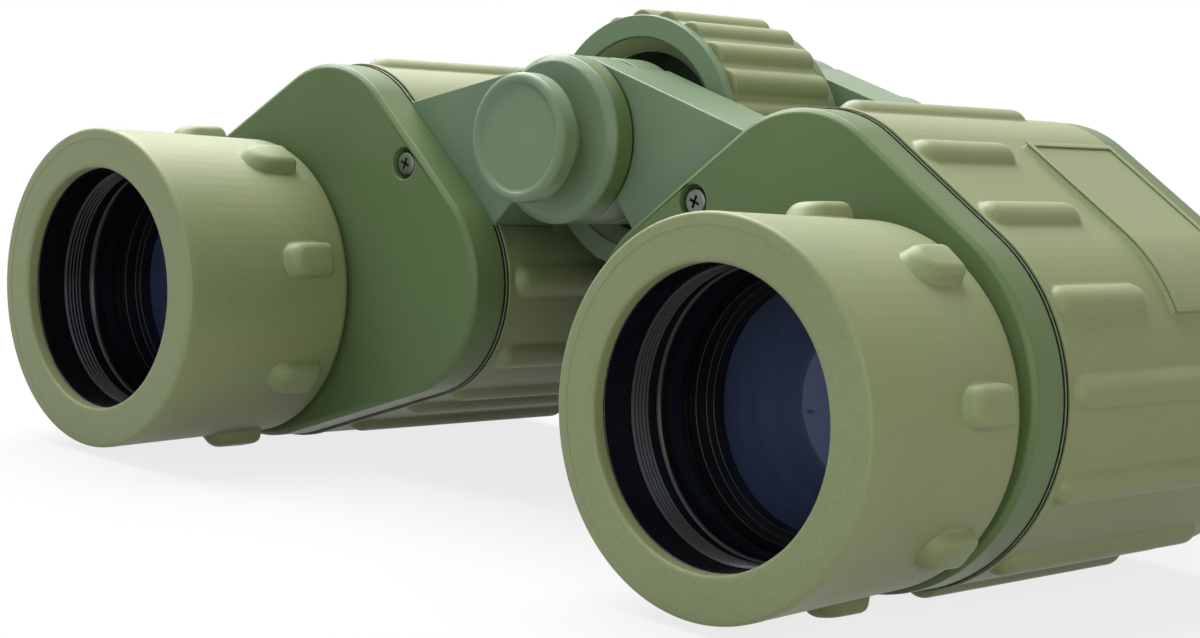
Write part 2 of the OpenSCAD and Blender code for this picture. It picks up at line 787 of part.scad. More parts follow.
module eyepiece_guide() {
    inner_face = rear_cover_rear - cover_wall - seat_gap;
    flange_r = (guide_r + eyepiece_lobe_r - cover_wall) / 2;
    bore = ocular_r + running_fit;
    color(BLACK) at_eyepiece() turned() {
        ring_section(bore, guide_r, inner_face - cover_wall, guide_rear);
        ring_section(bore, flange_r, inner_face - cover_wall, inner_face);
    }
}

module left_ocular_barrel() {
    color(BLACK) at_eyepiece() turned() {
        ring_section(ocular_bore, ocular_r, ocular_front, head_rear);
        ring_section(ocular_bore, ocular_head_r, head_front, head_rear);
    }
}

module right_ocular_carrier() {
    color(BLACK) at_eyepiece() turned() {
        ring_section(ocular_bore, ocular_r, ocular_front, head_front + carrier_flange);
        ring_section(ocular_bore, dioptre_bore - running_fit, head_front, head_front + carrier_flange);
    }
}

module right_ocular_barrel() {
    color(BLACK) at_eyepiece() turned() {
        ring_section(right_ocular_bore, right_ocular_r, ocular_front, head_rear);
        ring_section(right_ocular_bore, ocular_head_r, right_head_front, head_rear);
    }
}

module dioptre_ring() {
    notch_r = moving_gap * 2;
    color(BLACK) at_eyepiece() difference() {
        tube(dioptre_bore, dioptre_r, head_front, head_front + dioptre_length);
        for (i = [0 : dioptre_notches - 1])
            rotate([0, i * 360 / dioptre_notches, 0]) translate([dioptre_r, 0, 0])
                rod(notch_r, head_front + notch_r, head_front + dioptre_length + OVER);
    }
}

// Field lens and eye lens in a barrel of the given bore
module ocular_lenses(bore) {
    r = bore - running_fit;
    clear = r - running_fit;
    rim = ocular_head / 4;
    curve = 2 * ocular_r;
    color(GLASS, 0.5) at_eyepiece() {
        turned() lens_section(r, clear, ocular_front + 2 * rim, rim, curve);
        translate([0, head_rear - rim, 0]) mirror([0, 1, 0])
            turned() lens_section(r, clear, -rim / 2, rim, curve);
    }
}

// Rubber eyecup from station y0, with a pocket over the eyepiece head
module eyecup(y0) {
    pocket_r = ocular_head_r + seat_gap;
    edge = (eyecup_r - pocket_r) / 3;
    lip_r = ocular_bore + edge;
    seat = head_rear + seat_gap;
    color(SLEEVE_GREEN) at_eyepiece() turned() polygon([
        [pocket_r, y0],
        [eyecup_r - edge, y0],
        [eyecup_r, y0 + edge],
        [eyecup_r, eyecup_rear - edge],
        [eyecup_r - edge, eyecup_rear],
        [eyecup_r - 2 * edge, eyecup_rear],
        [lip_r, seat + edge],
        [lip_r, seat],
        [pocket_r, seat]
    ]);
}

// Bridge arm with its own knuckle from k0 to k1 and room for the other from r0 to r1
module bridge_arm(k0, k1, r0, r1) {
    color(ARM_GREEN) difference() {
        union() {
            difference() {
                along_y(bridge_front, bridge_rear) rotate(atan2(eye.y, eye.x))
                    translate([0, -bridge_half_w]) square([eye_r, 2 * bridge_half_w]);
                rod(bridge_knuckle_r + moving_gap, r0, r1);
            }
            rod(bridge_knuckle_r, k0, k1);
            at_eyepiece() rod(bridge_ring_r, bridge_front, bridge_rear);
        }
        rod(spindle_r + running_fit, bridge_front - OVER, bridge_rear + OVER);
        at_eyepiece() rod(ocular_r + running_fit, bridge_front - OVER, bridge_rear + OVER);
    }
}

// Hinge

module hinge_hub() {
    bore = pin_r + running_fit;
    color(ARM_GREEN) turned() polygon([
        [bore, 0],
        [front_knuckle_r - hub_bevel, 0],
        [front_knuckle_r, hub_bevel],
        [front_knuckle_r, hub_length],
        [bore, hub_length]
    ]);
}

module front_hinge_pin() {
    head_front_y = front_arm_rear + moving_gap;
    head_y = head_front_y + 2 * washer_thickness;
    color(STEEL) difference() {
        union() {
            rod(pin_r, 0, head_y);
            rod(spigot_r, spigot_front, OVER);
            rod((pin_r + front_knuckle_r) / 2, head_front_y, head_y);
        }
        rod(socket_r, spigot_front - OVER, spigot_front + socket_depth);
    }
}

module rear_hinge_tube() {
    collar_front = housing_rear + moving_gap;
    collar_rear = collar_front + 2 * washer_thickness;
    color(STEEL) turned() {
        ring_section(tube_bore, tube_r, nut_rear + seat_gap, collar_rear);
        ring_section(tube_bore, (tube_r + rear_knuckle_r) / 2, collar_front, collar_rear);
    }
}

module hinge_washers() {
    half_t = washer_thickness / 2;
    color(STEEL) {
        tube(pin_r + running_fit, front_knuckle_r - washer_inset, front_split - half_t, front_split + half_t);
        tube(tube_r + running_fit, rear_knuckle_r - washer_inset, rear_split - half_t, rear_split + half_t);
    }
}

module tripod_cap() {
    neck_r = cap_r * 2 / 3;
    front = -cap_neck - cap_head;
    rim_round = cap_rim / 2;
    pocket_r = spigot_r + running_fit;
    color(ARM_GREEN) turned() difference() {
        union() {
            ring_section(0, cap_r - TUCK, front + rim_round, -cap_neck);
            ring_section(0, cap_r - rim_round, front + cap_dish, -cap_neck);
            translate([cap_r - rim_round, front + rim_round]) circle(rim_round);
            ring_section(0, neck_r, -cap_neck - cap_dish, -seat_gap);
        }
        ring_section(0, pocket_r, spigot_front - seat_gap, OVER);
    }
}

// Focus drive

wheel_floor = wheel_front + wheel_hollow;
nut_rear = wheel_floor + 3 * wheel_flange / 2;
hollow_r = rim_r - wheel_rim;

module focus_wheel() {
    color(ARM_GREEN) turned() {
        ring_section(hollow_r, rim_r, wheel_front, wheel_rear);
        ring_section(hollow_r, grip_valley_r, wheel_front, wheel_front + wheel_flange);
        ring_section(hollow_r, grip_valley_r, wheel_rear - wheel_flange, wheel_rear);
        ring_section(tube_r + running_fit, rim_r, wheel_floor, wheel_rear);
        ring_section(spindle_r + running_fit, rim_r, wheel_floor, nut_rear);
    }
}

module focus_grip() {
    lobe_r = lobe_fullness * PI * grip_valley_r / lobe_count;
    color(SLEEVE_GREEN) difference() {
        along_y(wheel_front + wheel_flange + seat_gap, wheel_rear - wheel_flange - seat_gap) {
            circle(grip_valley_r);
            for (i = [0 : lobe_count - 1])
                rotate(i * 360 / lobe_count) translate([grip_r - lobe_r, 0]) circle(lobe_r);
        }
        rod(rim_r + seat_gap, wheel_front, wheel_rear);
    }
}

module focus_spindle() {
    start = wheel_floor - focus_travel - spindle_lead;
    collar_rear = bridge_front - seat_gap;
    color(STEEL) {
        rod(spindle_r, start, bridge_cap_front + wheel_flange);
        tube(spindle_r / 2, tube_r, collar_rear - wheel_flange, collar_rear);
    }
}

bridge_cap_front = bridge_rear + moving_gap;

module bridge_cap() {
    r = bridge_knuckle_r - cap_edge;
    rear = bridge_cap_front + 2 * wheel_flange;
    color(ARM_GREEN) difference() {
        turned() polygon([
            [0, bridge_cap_front],
            [r, bridge_cap_front],
            [r, rear - cap_edge],
            [r - cap_edge, rear],
            [0, rear]
        ]);
        rod(spindle_r + running_fit, bridge_cap_front - OVER, bridge_cap_front + wheel_flange + seat_gap);
        translate([-r, rear - wheel_flange / 2, -cap_edge / 2]) cube([2 * r, wheel_flange, cap_edge]);
    }
}

objective_sleeve(pill_turn_left);  // left_objective_sleeve
objective_barrel();  // left_objective_barrel
objective_lens();  // left_objective_lens
lens_retainer();  // left_lens_retainer
front_cover();  // left_front_cover
front_cover_screw();  // left_front_cover_screw
prism_housing(true);  // left_prism_housing
housing_armour();  // left_housing_armour
prism_front();  // left_prism_front
prism_rear();  // left_prism_rear
prism_shelf();  // left_prism_shelf
prism_clips();  // left_prism_clips
rear_cover();  // left_rear_cover
rear_cover_screws();  // left_rear_cover_screws
eyepiece_guide();  // left_eyepiece_guide
bridge_arm(bridge_front, bridge_mid[0], bridge_mid[0], bridge_rear + OVER);  // left_bridge_arm
left_ocular_barrel();
ocular_lenses(ocular_bore);  // left_ocular_lenses
eyecup(head_front);  // left_eyecup
mirrored() objective_sleeve(pill_turn_right);  // right_objective_sleeve
mirrored() objective_barrel();  // right_objective_barrel
mirrored() objective_lens();  // right_objective_lens
mirrored() lens_retainer();  // right_lens_retainer
mirrored() front_cover();  // right_front_cover
mirrored() front_cover_screw();  // right_front_cover_screw
mirrored() prism_housing(false);  // right_prism_housing
mirrored() housing_armour();  // right_housing_armour
mirrored() prism_front();  // right_prism_front
mirrored() prism_rear();  // right_prism_rear
mirrored() prism_shelf();  // right_prism_shelf
mirrored() prism_clips();  // right_prism_clips
mirrored() rear_cover();  // right_rear_cover
mirrored() rear_cover_screws();  // right_rear_cover_screws
mirrored() eyepiece_guide();  // right_eyepiece_guide
mirrored() bridge_arm(bridge_mid[1], bridge_rear, bridge_front - OVER, bridge_mid[1]);  // right_bridge_arm
mirrored() right_ocular_carrier();
mirrored() right_ocular_barrel();
mirrored() ocular_lenses(right_ocular_bore);  // right_ocular_lenses
mirrored() eyecup(right_cup_front);  // right_eyecup
mirrored() dioptre_ring();
hinge_hub();
front_hinge_pin();
rear_hinge_tube();
hinge_washers();
tripod_cap();
focus_wheel();
focus_grip();
focus_spindle();
bridge_cap();
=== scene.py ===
"""Looks of a green rubber-armoured prism binocular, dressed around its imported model."""

import json
import logging
import math
from collections.abc import Callable
from dataclasses import dataclass, field
from enum import Enum

import bpy
from mathutils import Matrix, Vector


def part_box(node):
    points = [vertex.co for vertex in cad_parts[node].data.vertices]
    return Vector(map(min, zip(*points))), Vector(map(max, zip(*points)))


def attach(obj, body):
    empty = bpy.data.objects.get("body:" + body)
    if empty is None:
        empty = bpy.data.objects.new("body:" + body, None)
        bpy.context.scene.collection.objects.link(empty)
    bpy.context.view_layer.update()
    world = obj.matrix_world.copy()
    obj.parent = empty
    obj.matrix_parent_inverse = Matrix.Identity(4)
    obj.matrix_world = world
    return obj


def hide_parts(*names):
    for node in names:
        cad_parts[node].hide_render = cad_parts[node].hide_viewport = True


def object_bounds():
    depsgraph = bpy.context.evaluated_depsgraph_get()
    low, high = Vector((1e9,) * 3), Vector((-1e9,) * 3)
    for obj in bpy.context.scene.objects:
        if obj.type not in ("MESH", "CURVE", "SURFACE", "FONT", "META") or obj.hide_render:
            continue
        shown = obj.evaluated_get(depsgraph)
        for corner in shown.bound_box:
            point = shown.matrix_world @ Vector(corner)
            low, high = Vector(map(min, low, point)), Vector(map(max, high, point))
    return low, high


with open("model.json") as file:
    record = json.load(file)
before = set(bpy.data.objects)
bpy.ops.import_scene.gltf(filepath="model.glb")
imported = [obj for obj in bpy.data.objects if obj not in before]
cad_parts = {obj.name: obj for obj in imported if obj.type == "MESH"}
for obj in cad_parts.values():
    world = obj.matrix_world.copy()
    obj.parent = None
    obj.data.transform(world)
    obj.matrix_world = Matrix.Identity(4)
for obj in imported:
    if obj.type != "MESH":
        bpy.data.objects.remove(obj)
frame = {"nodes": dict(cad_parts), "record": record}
CAD_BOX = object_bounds()
LOG = logging.getLogger("binocular")

MM = 0.001
# Corners nearer than this are merged.
MERGE_GAP = 0.002 * MM
# Corners nearer than this to a plane count as on it.
CLOSE = 0.01 * MM
# The greys of a noise pattern keep to about this reach round middle grey.
GREY_REACH = 0.2
HINGE_AXIS = (0.0, 0.0)

Colour = tuple[float, float, float]
Place = tuple[float, float, float]
Pair = tuple[float, float]
Piece = bpy.types.Object
Socket = bpy.types.NodeSocket


class Side(Enum):
    """The two halves, as the user holds the glass: the value is the sign of x."""

    LEFT = 1
    RIGHT = -1

    def node(self, name: str) -> str:
        """Returns the full name of a piece of this half."""
        return f"{self.name.lower()}_{name}"

    @property
    def body(self) -> str:
        """Body that carries the fixed pieces of this half."""
        return self.node("half")


class Edge(Enum):
    """How the edges of a piece were finished when it was made."""

    MOULDED = "moulded"
    CAST = "cast"
    TURNED = "turned"
    POLISHED = "polished"


def tinted(colour: Colour, factor: float) -> Colour:
    """Returns a colour made lighter or darker by a factor."""
    return tuple(channel * factor for channel in colour)


def fill_sockets(tree: bpy.types.NodeTree, node: bpy.types.Node, **inputs: Socket | float | Colour) -> None:
    """Sets or joins sockets of a shader node.

    Args:
        tree: The node tree.
        node: The node.
        inputs: Socket names in lower case with underscores, each with a value or with a socket to join.
    """
    for name, value in inputs.items():
        socket = node.inputs[name.replace("_", " ").title().replace("Ior", "IOR")]
        if isinstance(value, Socket):
            tree.links.new(value, socket)
        elif socket.type == "RGBA":
            socket.default_value = (*value, 1.0)
        else:
            socket.default_value = value


def add_node(tree: bpy.types.NodeTree, kind: str, **inputs: Socket | float | Colour) -> bpy.types.Node:
    """Adds a shader node.

    Args:
        tree: The node tree.
        kind: Type of the node, without ShaderNode in front.
        inputs: Its sockets, as fill_sockets takes them.

    Returns:
        The node.
    """
    node = tree.nodes.new(f"ShaderNode{kind}")
    fill_sockets(tree, node, **inputs)
    return node


def find_node(tree: bpy.types.NodeTree, kind: str) -> bpy.types.Node:
    """Returns the first node of a type in a tree."""
    return next(node for node in tree.nodes if node.type == kind)


def calculate(tree: bpy.types.NodeTree, operation: str, first: Socket, second: Socket) -> Socket:
    """Calculates with two grey values.

    Args:
        tree: The node tree.
        operation: Name of the operation.
        first: The first value.
        second: The second value.

    Returns:
        The result.
    """
    node = add_node(tree, "Math")
    node.operation = operation
    tree.links.new(first, node.inputs[0])
    tree.links.new(second, node.inputs[1])
    return node.outputs["Value"]


class Recipe:
    """A material under construction: its node tree, its shader and its object coordinates."""

    def __init__(self, name: str) -> None:
        """Starts an empty material.

        Args:
            name: Name of the material.
        """
        self.material = bpy.data.materials.new(name)
        self.material.use_nodes = True
        self.tree = self.material.node_tree
        self.shader = find_node(self.tree, "BSDF_PRINCIPLED")
        self.coordinates = add_node(self.tree, "TexCoord").outputs["Object"]

    def noise(self, scale: float, detail: float, stretch: Place = (1.0, 1.0, 1.0)) -> Socket:
        """Adds a noise pattern.

        Args:
            scale: Waves per metre.
            detail: Octaves of finer noise.
            stretch: Factors on the three axes of the pattern.

        Returns:
            The grey value of the pattern.
        """
        mapping = add_node(self.tree, "Mapping", vector=self.coordinates, scale=stretch)
        pattern = add_node(
            self.tree, "TexNoise", vector=mapping.outputs["Vector"], scale=scale, detail=detail
        )
        return pattern.outputs["Fac"]

    def shades(self, grey: Socket, colour: Colour, factors: Pair, reach: float = GREY_REACH) -> Socket:
        """Makes a colour darker and lighter with a grey value.

        Args:
            grey: The grey value.
            colour: The colour.
            factors: Factors on the colour where the pattern is dark and where it is bright.
            reach: How far from middle grey the two factors are reached.

        Returns:
            The varied colour.
        """
        node = add_node(self.tree, "ValToRGB", fac=grey)
        places = (0.5 - reach, 0.5 + reach)
        for stop, place, factor in zip(node.color_ramp.elements, places, factors):
            stop.position = place
            stop.color = (*tinted(colour, factor), 1.0)
        return node.outputs["Color"]

    def spread(self, grey: Socket, ends: Pair) -> Socket:
        """Maps a noise pattern to a range of values.

        Args:
            grey: The grey value of the pattern.
            ends: Results where the pattern is dark and where it is bright.

        Returns:
            The mapped value.
        """
        node = add_node(
            self.tree, "MapRange", value=grey, from_min=0.5 - GREY_REACH, from_max=0.5 + GREY_REACH,
            to_min=ends[0], to_max=ends[1],
        )
        return node.outputs["Result"]

    def blend(self, factor: Socket, first: Socket, second: Socket) -> Socket:
        """Mixes two colours.

        Args:
            factor: Share of the second colour.
            first: The first colour.
            second: The second colour.

        Returns:
            The mixed colour.
        """
        node = add_node(self.tree, "Mix")
        node.data_type = "RGBA"
        fill_sockets(self.tree, node, factor=factor, a=first, b=second)
        return node.outputs["Result"]

    def bump(self, height: Socket, depth: float, strength: float, under: Socket | None = None) -> Socket:
        """Turns a grey value into relief.

        Args:
            height: The grey value.
            depth: Height of the relief in metres.
            strength: Share of the relief that shows.
            under: Relief that this one lies on.

        Returns:
            The changed normal.
        """
        node = add_node(self.tree, "Bump", height=height, distance=depth, strength=strength)
        if under is not None:
            fill_sockets(self.tree, node, normal=under)
        return node.outputs["Normal"]

    def finish(self, **inputs: Socket | float | Colour) -> bpy.types.Material:
        """Fills the sockets of the shader.

        Args:
            inputs: The sockets, as fill_sockets takes them.

        Returns:
            The finished material.
        """
        fill_sockets(self.tree, self.shader, **inputs)
        return self.material


@dataclass(frozen=True)
class Finish:
    """A surface finish: its name and colour, and how the edges of such pieces are made."""

    name: str
    colour: Colour
    edge: Edge = Edge.TURNED

    def material(self) -> bpy.types.Material:
        """Returns the finished material."""
        raise NotImplementedError


@dataclass(frozen=True)
class MouldedRubber(Finish):
    """Matt rubber from a grained mould: cloudy, finely speckled and slightly dusty."""

    edge: Edge = Edge.MOULDED
    roughness: Pair = (0.45, 0.59)
    gloss: float = 0.32
    grain: float = 2600.0
    grain_depth: float = 0.05 * MM
    grain_strength: float = 0.35
    cloud: float = 45.0
    cloud_depth: float = 0.4 * MM
    cloud_strength: float = 0.08
    cloud_shades: Pair = (0.93, 1.06)
    speckle_shades: Pair = (0.88, 1.12)
    speckle_reach: float = 0.14
    speckle_share: Pair = (0.35, 0.55)
    dust: float = 0.1
    dust_roughness: float = 0.3

    def material(self) -> bpy.types.Material:
        """Mixes the rubber.

        Returns:
            The material.
        """
        recipe = Recipe(self.name)
        grain = recipe.noise(self.grain, detail=3.0)
        cloud = recipe.noise(self.cloud, detail=4.0)
        body = recipe.shades(cloud, self.colour, self.cloud_shades)
        speckle = recipe.shades(grain, self.colour, self.speckle_shades, self.speckle_reach)
        pores = recipe.bump(grain, self.grain_depth, self.grain_strength)
        return recipe.finish(
            base_color=recipe.blend(recipe.spread(cloud, self.speckle_share), body, speckle),
            roughness=recipe.spread(grain, self.roughness),
            normal=recipe.bump(cloud, self.cloud_depth, self.cloud_strength, pores),
            specular_ior_level=self.gloss,
            sheen_weight=self.dust,
            sheen_roughness=self.dust_roughness,
        )


@dataclass(frozen=True)
class SatinPaint(Finish):
    """Satin paint on a casting: a faint orange peel, and a sheen that varies a little."""

    edge: Edge = Edge.CAST
    roughness: Pair = (0.32, 0.4)
    gloss: float = 0.17
    peel: float = 700.0
    peel_depth: float = 0.02 * MM
    peel_strength: float = 0.2
    cloud: float = 35.0
    cloud_shades: Pair = (0.95, 1.05)

    def material(self) -> bpy.types.Material:
        """Mixes the paint.

        Returns:
            The material.
        """
        recipe = Recipe(self.name)
        peel = recipe.noise(self.peel, detail=1.5)
        cloud = recipe.noise(self.cloud, detail=3.0)
        return recipe.finish(
            base_color=recipe.shades(cloud, self.colour, self.cloud_shades),
            roughness=recipe.spread(cloud, self.roughness),
            normal=recipe.bump(peel, self.peel_depth, self.peel_strength),
            specular_ior_level=self.gloss,
        )


@dataclass(frozen=True)
class BlackedMetal(Finish):
    """Blacked or anodised metal with the marks of turning, which run round the optical axes."""

    roughness: Pair = (0.18, 0.32)
    gloss: float = 0.3
    turning: float = 2200.0
    turning_stretch: Place = (0.01, 1.0, 0.01)
    turning_depth: float = 0.02 * MM
    turning_strength: float = 0.3
    cloud: float = 120.0
    cloud_shades: Pair = (0.8, 1.25)

    def material(self) -> bpy.types.Material:
        """Mixes the blacked metal.

        Returns:
            The material.
        """
        recipe = Recipe(self.name)
        turning = recipe.noise(self.turning, detail=1.0, stretch=self.turning_stretch)
        cloud = recipe.noise(self.cloud, detail=3.0)
        return recipe.finish(
            base_color=recipe.shades(cloud, self.colour, self.cloud_shades),
            roughness=recipe.spread(turning, self.roughness),
            normal=recipe.bump(turning, self.turning_depth, self.turning_strength),
            specular_ior_level=self.gloss,
        )


@dataclass(frozen=True)
class BrightSteel(Finish):
    """Bare or plated steel with fine scratches."""

    roughness: Pair = (0.26, 0.42)
    scratch: float = 3000.0
    scratch_stretch: Place = (1.0, 1.0, 0.15)
    scratch_depth: float = 0.01 * MM
    scratch_strength: float = 0.15
    scratch_shades: Pair = (0.82, 1.0)

    def material(self) -> bpy.types.Material:
        """Mixes the steel.

        Returns:
            The material.
        """
        recipe = Recipe(self.name)
        scratch = recipe.noise(self.scratch, detail=3.0, stretch=self.scratch_stretch)
        return recipe.finish(
            base_color=recipe.shades(scratch, self.colour, self.scratch_shades),
            roughness=recipe.spread(scratch, self.roughness),
            normal=recipe.bump(scratch, self.scratch_depth, self.scratch_strength),
            metallic=1.0,
        )


@dataclass(frozen=True)
class ClearGlass(Finish):
    """Polished glass, with the tint that a coating gives its reflections."""

    edge: Edge = Edge.POLISHED
    reflection: Colour = (1.0, 1.0, 1.0)
    clearness: float = 1.0
    index: float = 1.52
    roughness: Pair = (0.0, 0.02)
    haze: float = 90.0
    haze_shades: Pair = (0.96, 1.0)

    def material(self) -> bpy.types.Material:
        """Mixes the glass.

        Returns:
            The material.
        """
        recipe = Recipe(self.name)
        haze = recipe.noise(self.haze, detail=3.0)
        return recipe.finish(
            base_color=recipe.shades(haze, self.colour, self.haze_shades),
            roughness=recipe.spread(haze, self.roughness),
            transmission_weight=self.clearness,
            ior=self.index,
            specular_tint=self.reflection,
        )


FINISHES: dict[str, Finish] = {
    finish.name: finish
    for finish in (
        MouldedRubber("sleeve_rubber", (0.174, 0.206, 0.1)),
        MouldedRubber("armour_rubber", (0.174, 0.204, 0.099)),
        MouldedRubber("eyecup_rubber", (0.022, 0.023, 0.022), roughness=(0.59, 0.73)),
        SatinPaint("cover_paint", (0.09, 0.136, 0.056)),
        SatinPaint("arm_paint", (0.13, 0.186, 0.112), roughness=(0.29, 0.37)),
        BlackedMetal("black_metal", (0.003, 0.003, 0.004)),
        MouldedRubber("black_plastic", (0.018, 0.018, 0.019), Edge.TURNED, roughness=(0.41, 0.55)),
        ClearGlass("coated_glass", (0.09, 0.12, 0.22), reflection=(0.5, 0.58, 1.0), clearness=0.6),
        ClearGlass("prism_glass", (0.95, 0.98, 0.98)),
        BrightSteel("screw_steel", (0.15, 0.17, 0.14), roughness=(0.3, 0.46)),
        BrightSteel("spring_steel", (0.48, 0.48, 0.47)),
    )
}


def add_modifier(piece: Piece, name: str, kind: str, **settings: object) -> bpy.types.Modifier:
    """Adds a modifier to a piece.

    Args:
        piece: The piece.
        name: Name of the modifier.
        kind: Its type.
        settings: Its settings by name.

    Returns:
        The modifier.
    """
    modifier = piece.modifiers.new(name, kind)
    for setting, value in settings.items():
        setattr(modifier, setting, value)
    return modifier


def apply_modifier(piece: Piece, name: str, kind: str, **settings: object) -> None:
    """Adds a modifier to a piece and applies it at once.

    Args:
        piece: The piece, in object mode.
        name: Name of the modifier.
        kind: Its type.
        settings: Its settings by name.
    """
    bpy.context.view_layer.objects.active = piece
    modifier = add_modifier(piece, name, kind, **settings)
    bpy.ops.object.modifier_apply(modifier=modifier.name)


@dataclass
class Dressing:
    """Puts the finishes and the made edges on the pieces."""

    voxel: float = 0.2 * MM
    softness: float = 0.5
    softening: int = 2
    thinning: float = 0.155
    flat_angle: float = math.radians(0.6)
    cast_round: float = 0.22 * MM
    turned_round: float = 0.12 * MM
    edge_segments: int = 3
    edge_angle: float = math.radians(28)
    materials: dict[str, bpy.types.Material] = field(default_factory=dict)

    def coat(self, piece: Piece, slot: str) -> None:
        """Gives a piece the material of a slot, which is made when it is first asked for.

        Args:
            piece: The piece.
            slot: Material slot of the record.
        """
        if slot not in self.materials:
            self.materials[slot] = FINISHES[slot].material()
        piece.data.materials.clear()
        piece.data.materials.append(self.materials[slot])

    def dress(self, node: Piece, slot: str) -> None:
        """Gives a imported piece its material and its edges.

        Args:
            node: The piece.
            slot: Its material slot in the record.
        """
        self.coat(node, slot)
        edge = FINISHES[slot].edge
        if edge is Edge.POLISHED:
            return
        add_modifier(node, "weld", "WELD", merge_threshold=MERGE_GAP)
        if edge is Edge.MOULDED:
            self.mould(node)
        else:
            self.round_edges(node, self.cast_round if edge is Edge.CAST else self.turned_round)

    def mould(self, node: Piece) -> None:
        """Blends all edges and inner corners of a rubber piece, as its mould does.

        Args:
            node: The piece.
        """
        add_modifier(node, "mould", "REMESH", mode="VOXEL", voxel_size=self.voxel, use_smooth_shade=True)
        add_modifier(node, "soften", "SMOOTH", factor=self.softness, iterations=self.softening)
        add_modifier(node, "thin", "DECIMATE", ratio=self.thinning)

    def round_edges(self, node: Piece, width: float) -> None:
        """Breaks the sharp edges of a metal piece.

        Args:
            node: The piece.
            width: Width of the broken edge.
        """
        add_modifier(node, "flats", "DECIMATE", decimate_type="DISSOLVE", angle_limit=self.flat_angle)
        add_modifier(
            node, "broken_edges", "BEVEL", width=width, segments=self.edge_segments, limit_method="ANGLE",
            angle_limit=self.edge_angle, use_clamp_overlap=False, harden_normals=True,
        )
        add_modifier(node, "flat_faces", "WEIGHTED_NORMAL", keep_sharp=True)

    def attach(self, piece: Piece, slot: str, body: str) -> None:
        """Gives a new piece its finish and the body that it rides on.

        Args:
            piece: The piece.
            slot: Material slot of the record.
            body: Body that carries it.
        """
        self.coat(piece, slot)
        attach(piece, body)
        LOG.info("made %s on %s", piece.name, body)


def axis_of(node: str) -> Pair:
    """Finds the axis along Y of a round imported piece.

    Args:
        node: Name of the piece.

    Returns:
        The x and the z of the axis.
    """
    low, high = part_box(node)
    return (low.x + high.x) / 2, (low.z + high.z) / 2


def select_where(piece: Piece, kind: str, test: Callable[[list[Vector]], bool]) -> None:
    """Selects parts of a mesh by the places of their corners and leaves the piece in edit mode.

    Args:
        piece: The active piece.
        kind: VERT, EDGE or FACE.
        test: Says whether a part with these corners is selected.
    """
    bpy.ops.object.mode_set(mode="EDIT")
    bpy.ops.mesh.select_mode(type=kind)
    bpy.ops.mesh.select_all(action="DESELECT")
    bpy.ops.object.mode_set(mode="OBJECT")
    mesh = piece.data
    parts = {"VERT": mesh.vertices, "EDGE": mesh.edges, "FACE": mesh.polygons}[kind]
    for part in parts:
        numbers = [part.index] if kind == "VERT" else part.vertices
        part.select = test([mesh.vertices[i].co for i in numbers])
    bpy.ops.object.mode_set(mode="EDIT")


def place_copies(pattern: Piece, name: str, places: list[Matrix]) -> Piece:
    """Copies a pattern to its places, each copy with its own mesh, and joins the copies to one piece.

    Args:
        pattern: The piece that repeats.
        name: Name of the joined piece.
        places: Where the copies stand.

    Returns:
        The joined piece, at the origin.
    """
    bpy.ops.object.select_all(action="DESELECT")
    for place in places:
        copy = bpy.data.objects.new(name, pattern.data.copy())
        bpy.context.scene.collection.objects.link(copy)
        copy.matrix_world = place
        copy.select_set(True)
        bpy.context.view_layer.objects.active = copy
    bpy.ops.object.transform_apply(location=True, rotation=True, scale=True)
    if len(places) > 1:
        bpy.ops.object.join()
    piece = bpy.context.active_object
    piece.name = piece.data.name = name
    return piece


def bulge(radius: float, height: float, span: Pair, steps: int) -> list[Pair]:
    """Works out a round bulge in the section of a turned piece.

    Args:
        radius: Radius that the bulge stands on.
        height: How far it stands out, or in where negative.
        span: Its first and last station.
        steps: Straight steps along it.

    Returns:
        Radius and station of its corners.
    """
    middle, half = (span[0] + span[1]) / 2, (span[1] - span[0]) / 2
    angles = [math.pi * step / steps for step in range(steps + 1)]
    return [(radius + height * math.sin(a), middle - half * math.cos(a)) for a in angles]


@dataclass
class TurnedPiece:
    """A piece turned on a lathe round an axis along Y, to a section that each kind below gives."""

    name: str
    slot: str
    body: str
    axis: Pair
    segments: int = field(default=96, kw_only=True)
    crease: float = field(default=math.radians(32), kw_only=True)

    def section(self) -> list[Pair]:
        """Returns radius and station of the corners of the section."""
        raise NotImplementedError

    def turn(self) -> Piece:
        """Extrudes a circle along the section until it closes on itself.

        Returns:
            The bare piece.
        """
        x, z = self.axis
        first, *others = self.section()
        radius, station = first
        bpy.ops.object.select_all(action="DESELECT")
        bpy.ops.mesh.primitive_circle_add(
            vertices=self.segments, radius=radius, location=(x, station, z), rotation=(math.pi / 2, 0.0, 0.0)
        )
        piece = bpy.context.active_object
        bpy.ops.object.transform_apply(location=True, rotation=True, scale=True)
        bpy.ops.object.mode_set(mode="EDIT")
        bpy.ops.mesh.select_mode(type="VERT")
        bpy.ops.mesh.select_all(action="SELECT")
        for new_radius, new_station in [*others, first]:
            shift = (0.0, new_station - station, 0.0)
            bpy.ops.mesh.extrude_region_move(TRANSFORM_OT_translate={"value": shift})
            factor = new_radius / radius
            bpy.ops.transform.resize(value=(factor, 1.0, factor), center_override=(x, new_station, z))
            radius, station = new_radius, new_station
        bpy.ops.mesh.select_all(action="SELECT")
        bpy.ops.mesh.remove_doubles(threshold=MERGE_GAP)
        bpy.ops.mesh.normals_make_consistent(inside=False)
        bpy.ops.object.mode_set(mode="OBJECT")
        bpy.ops.object.shade_smooth_by_angle(angle=self.crease)
        return piece

    def build(self, dressing: Dressing) -> None:
        """Turns the piece and finishes it.

        Args:
            dressing: Gives the material.
        """
        piece = self.turn()
        piece.name = piece.data.name = self.name
        dressing.attach(piece, self.slot, self.body)


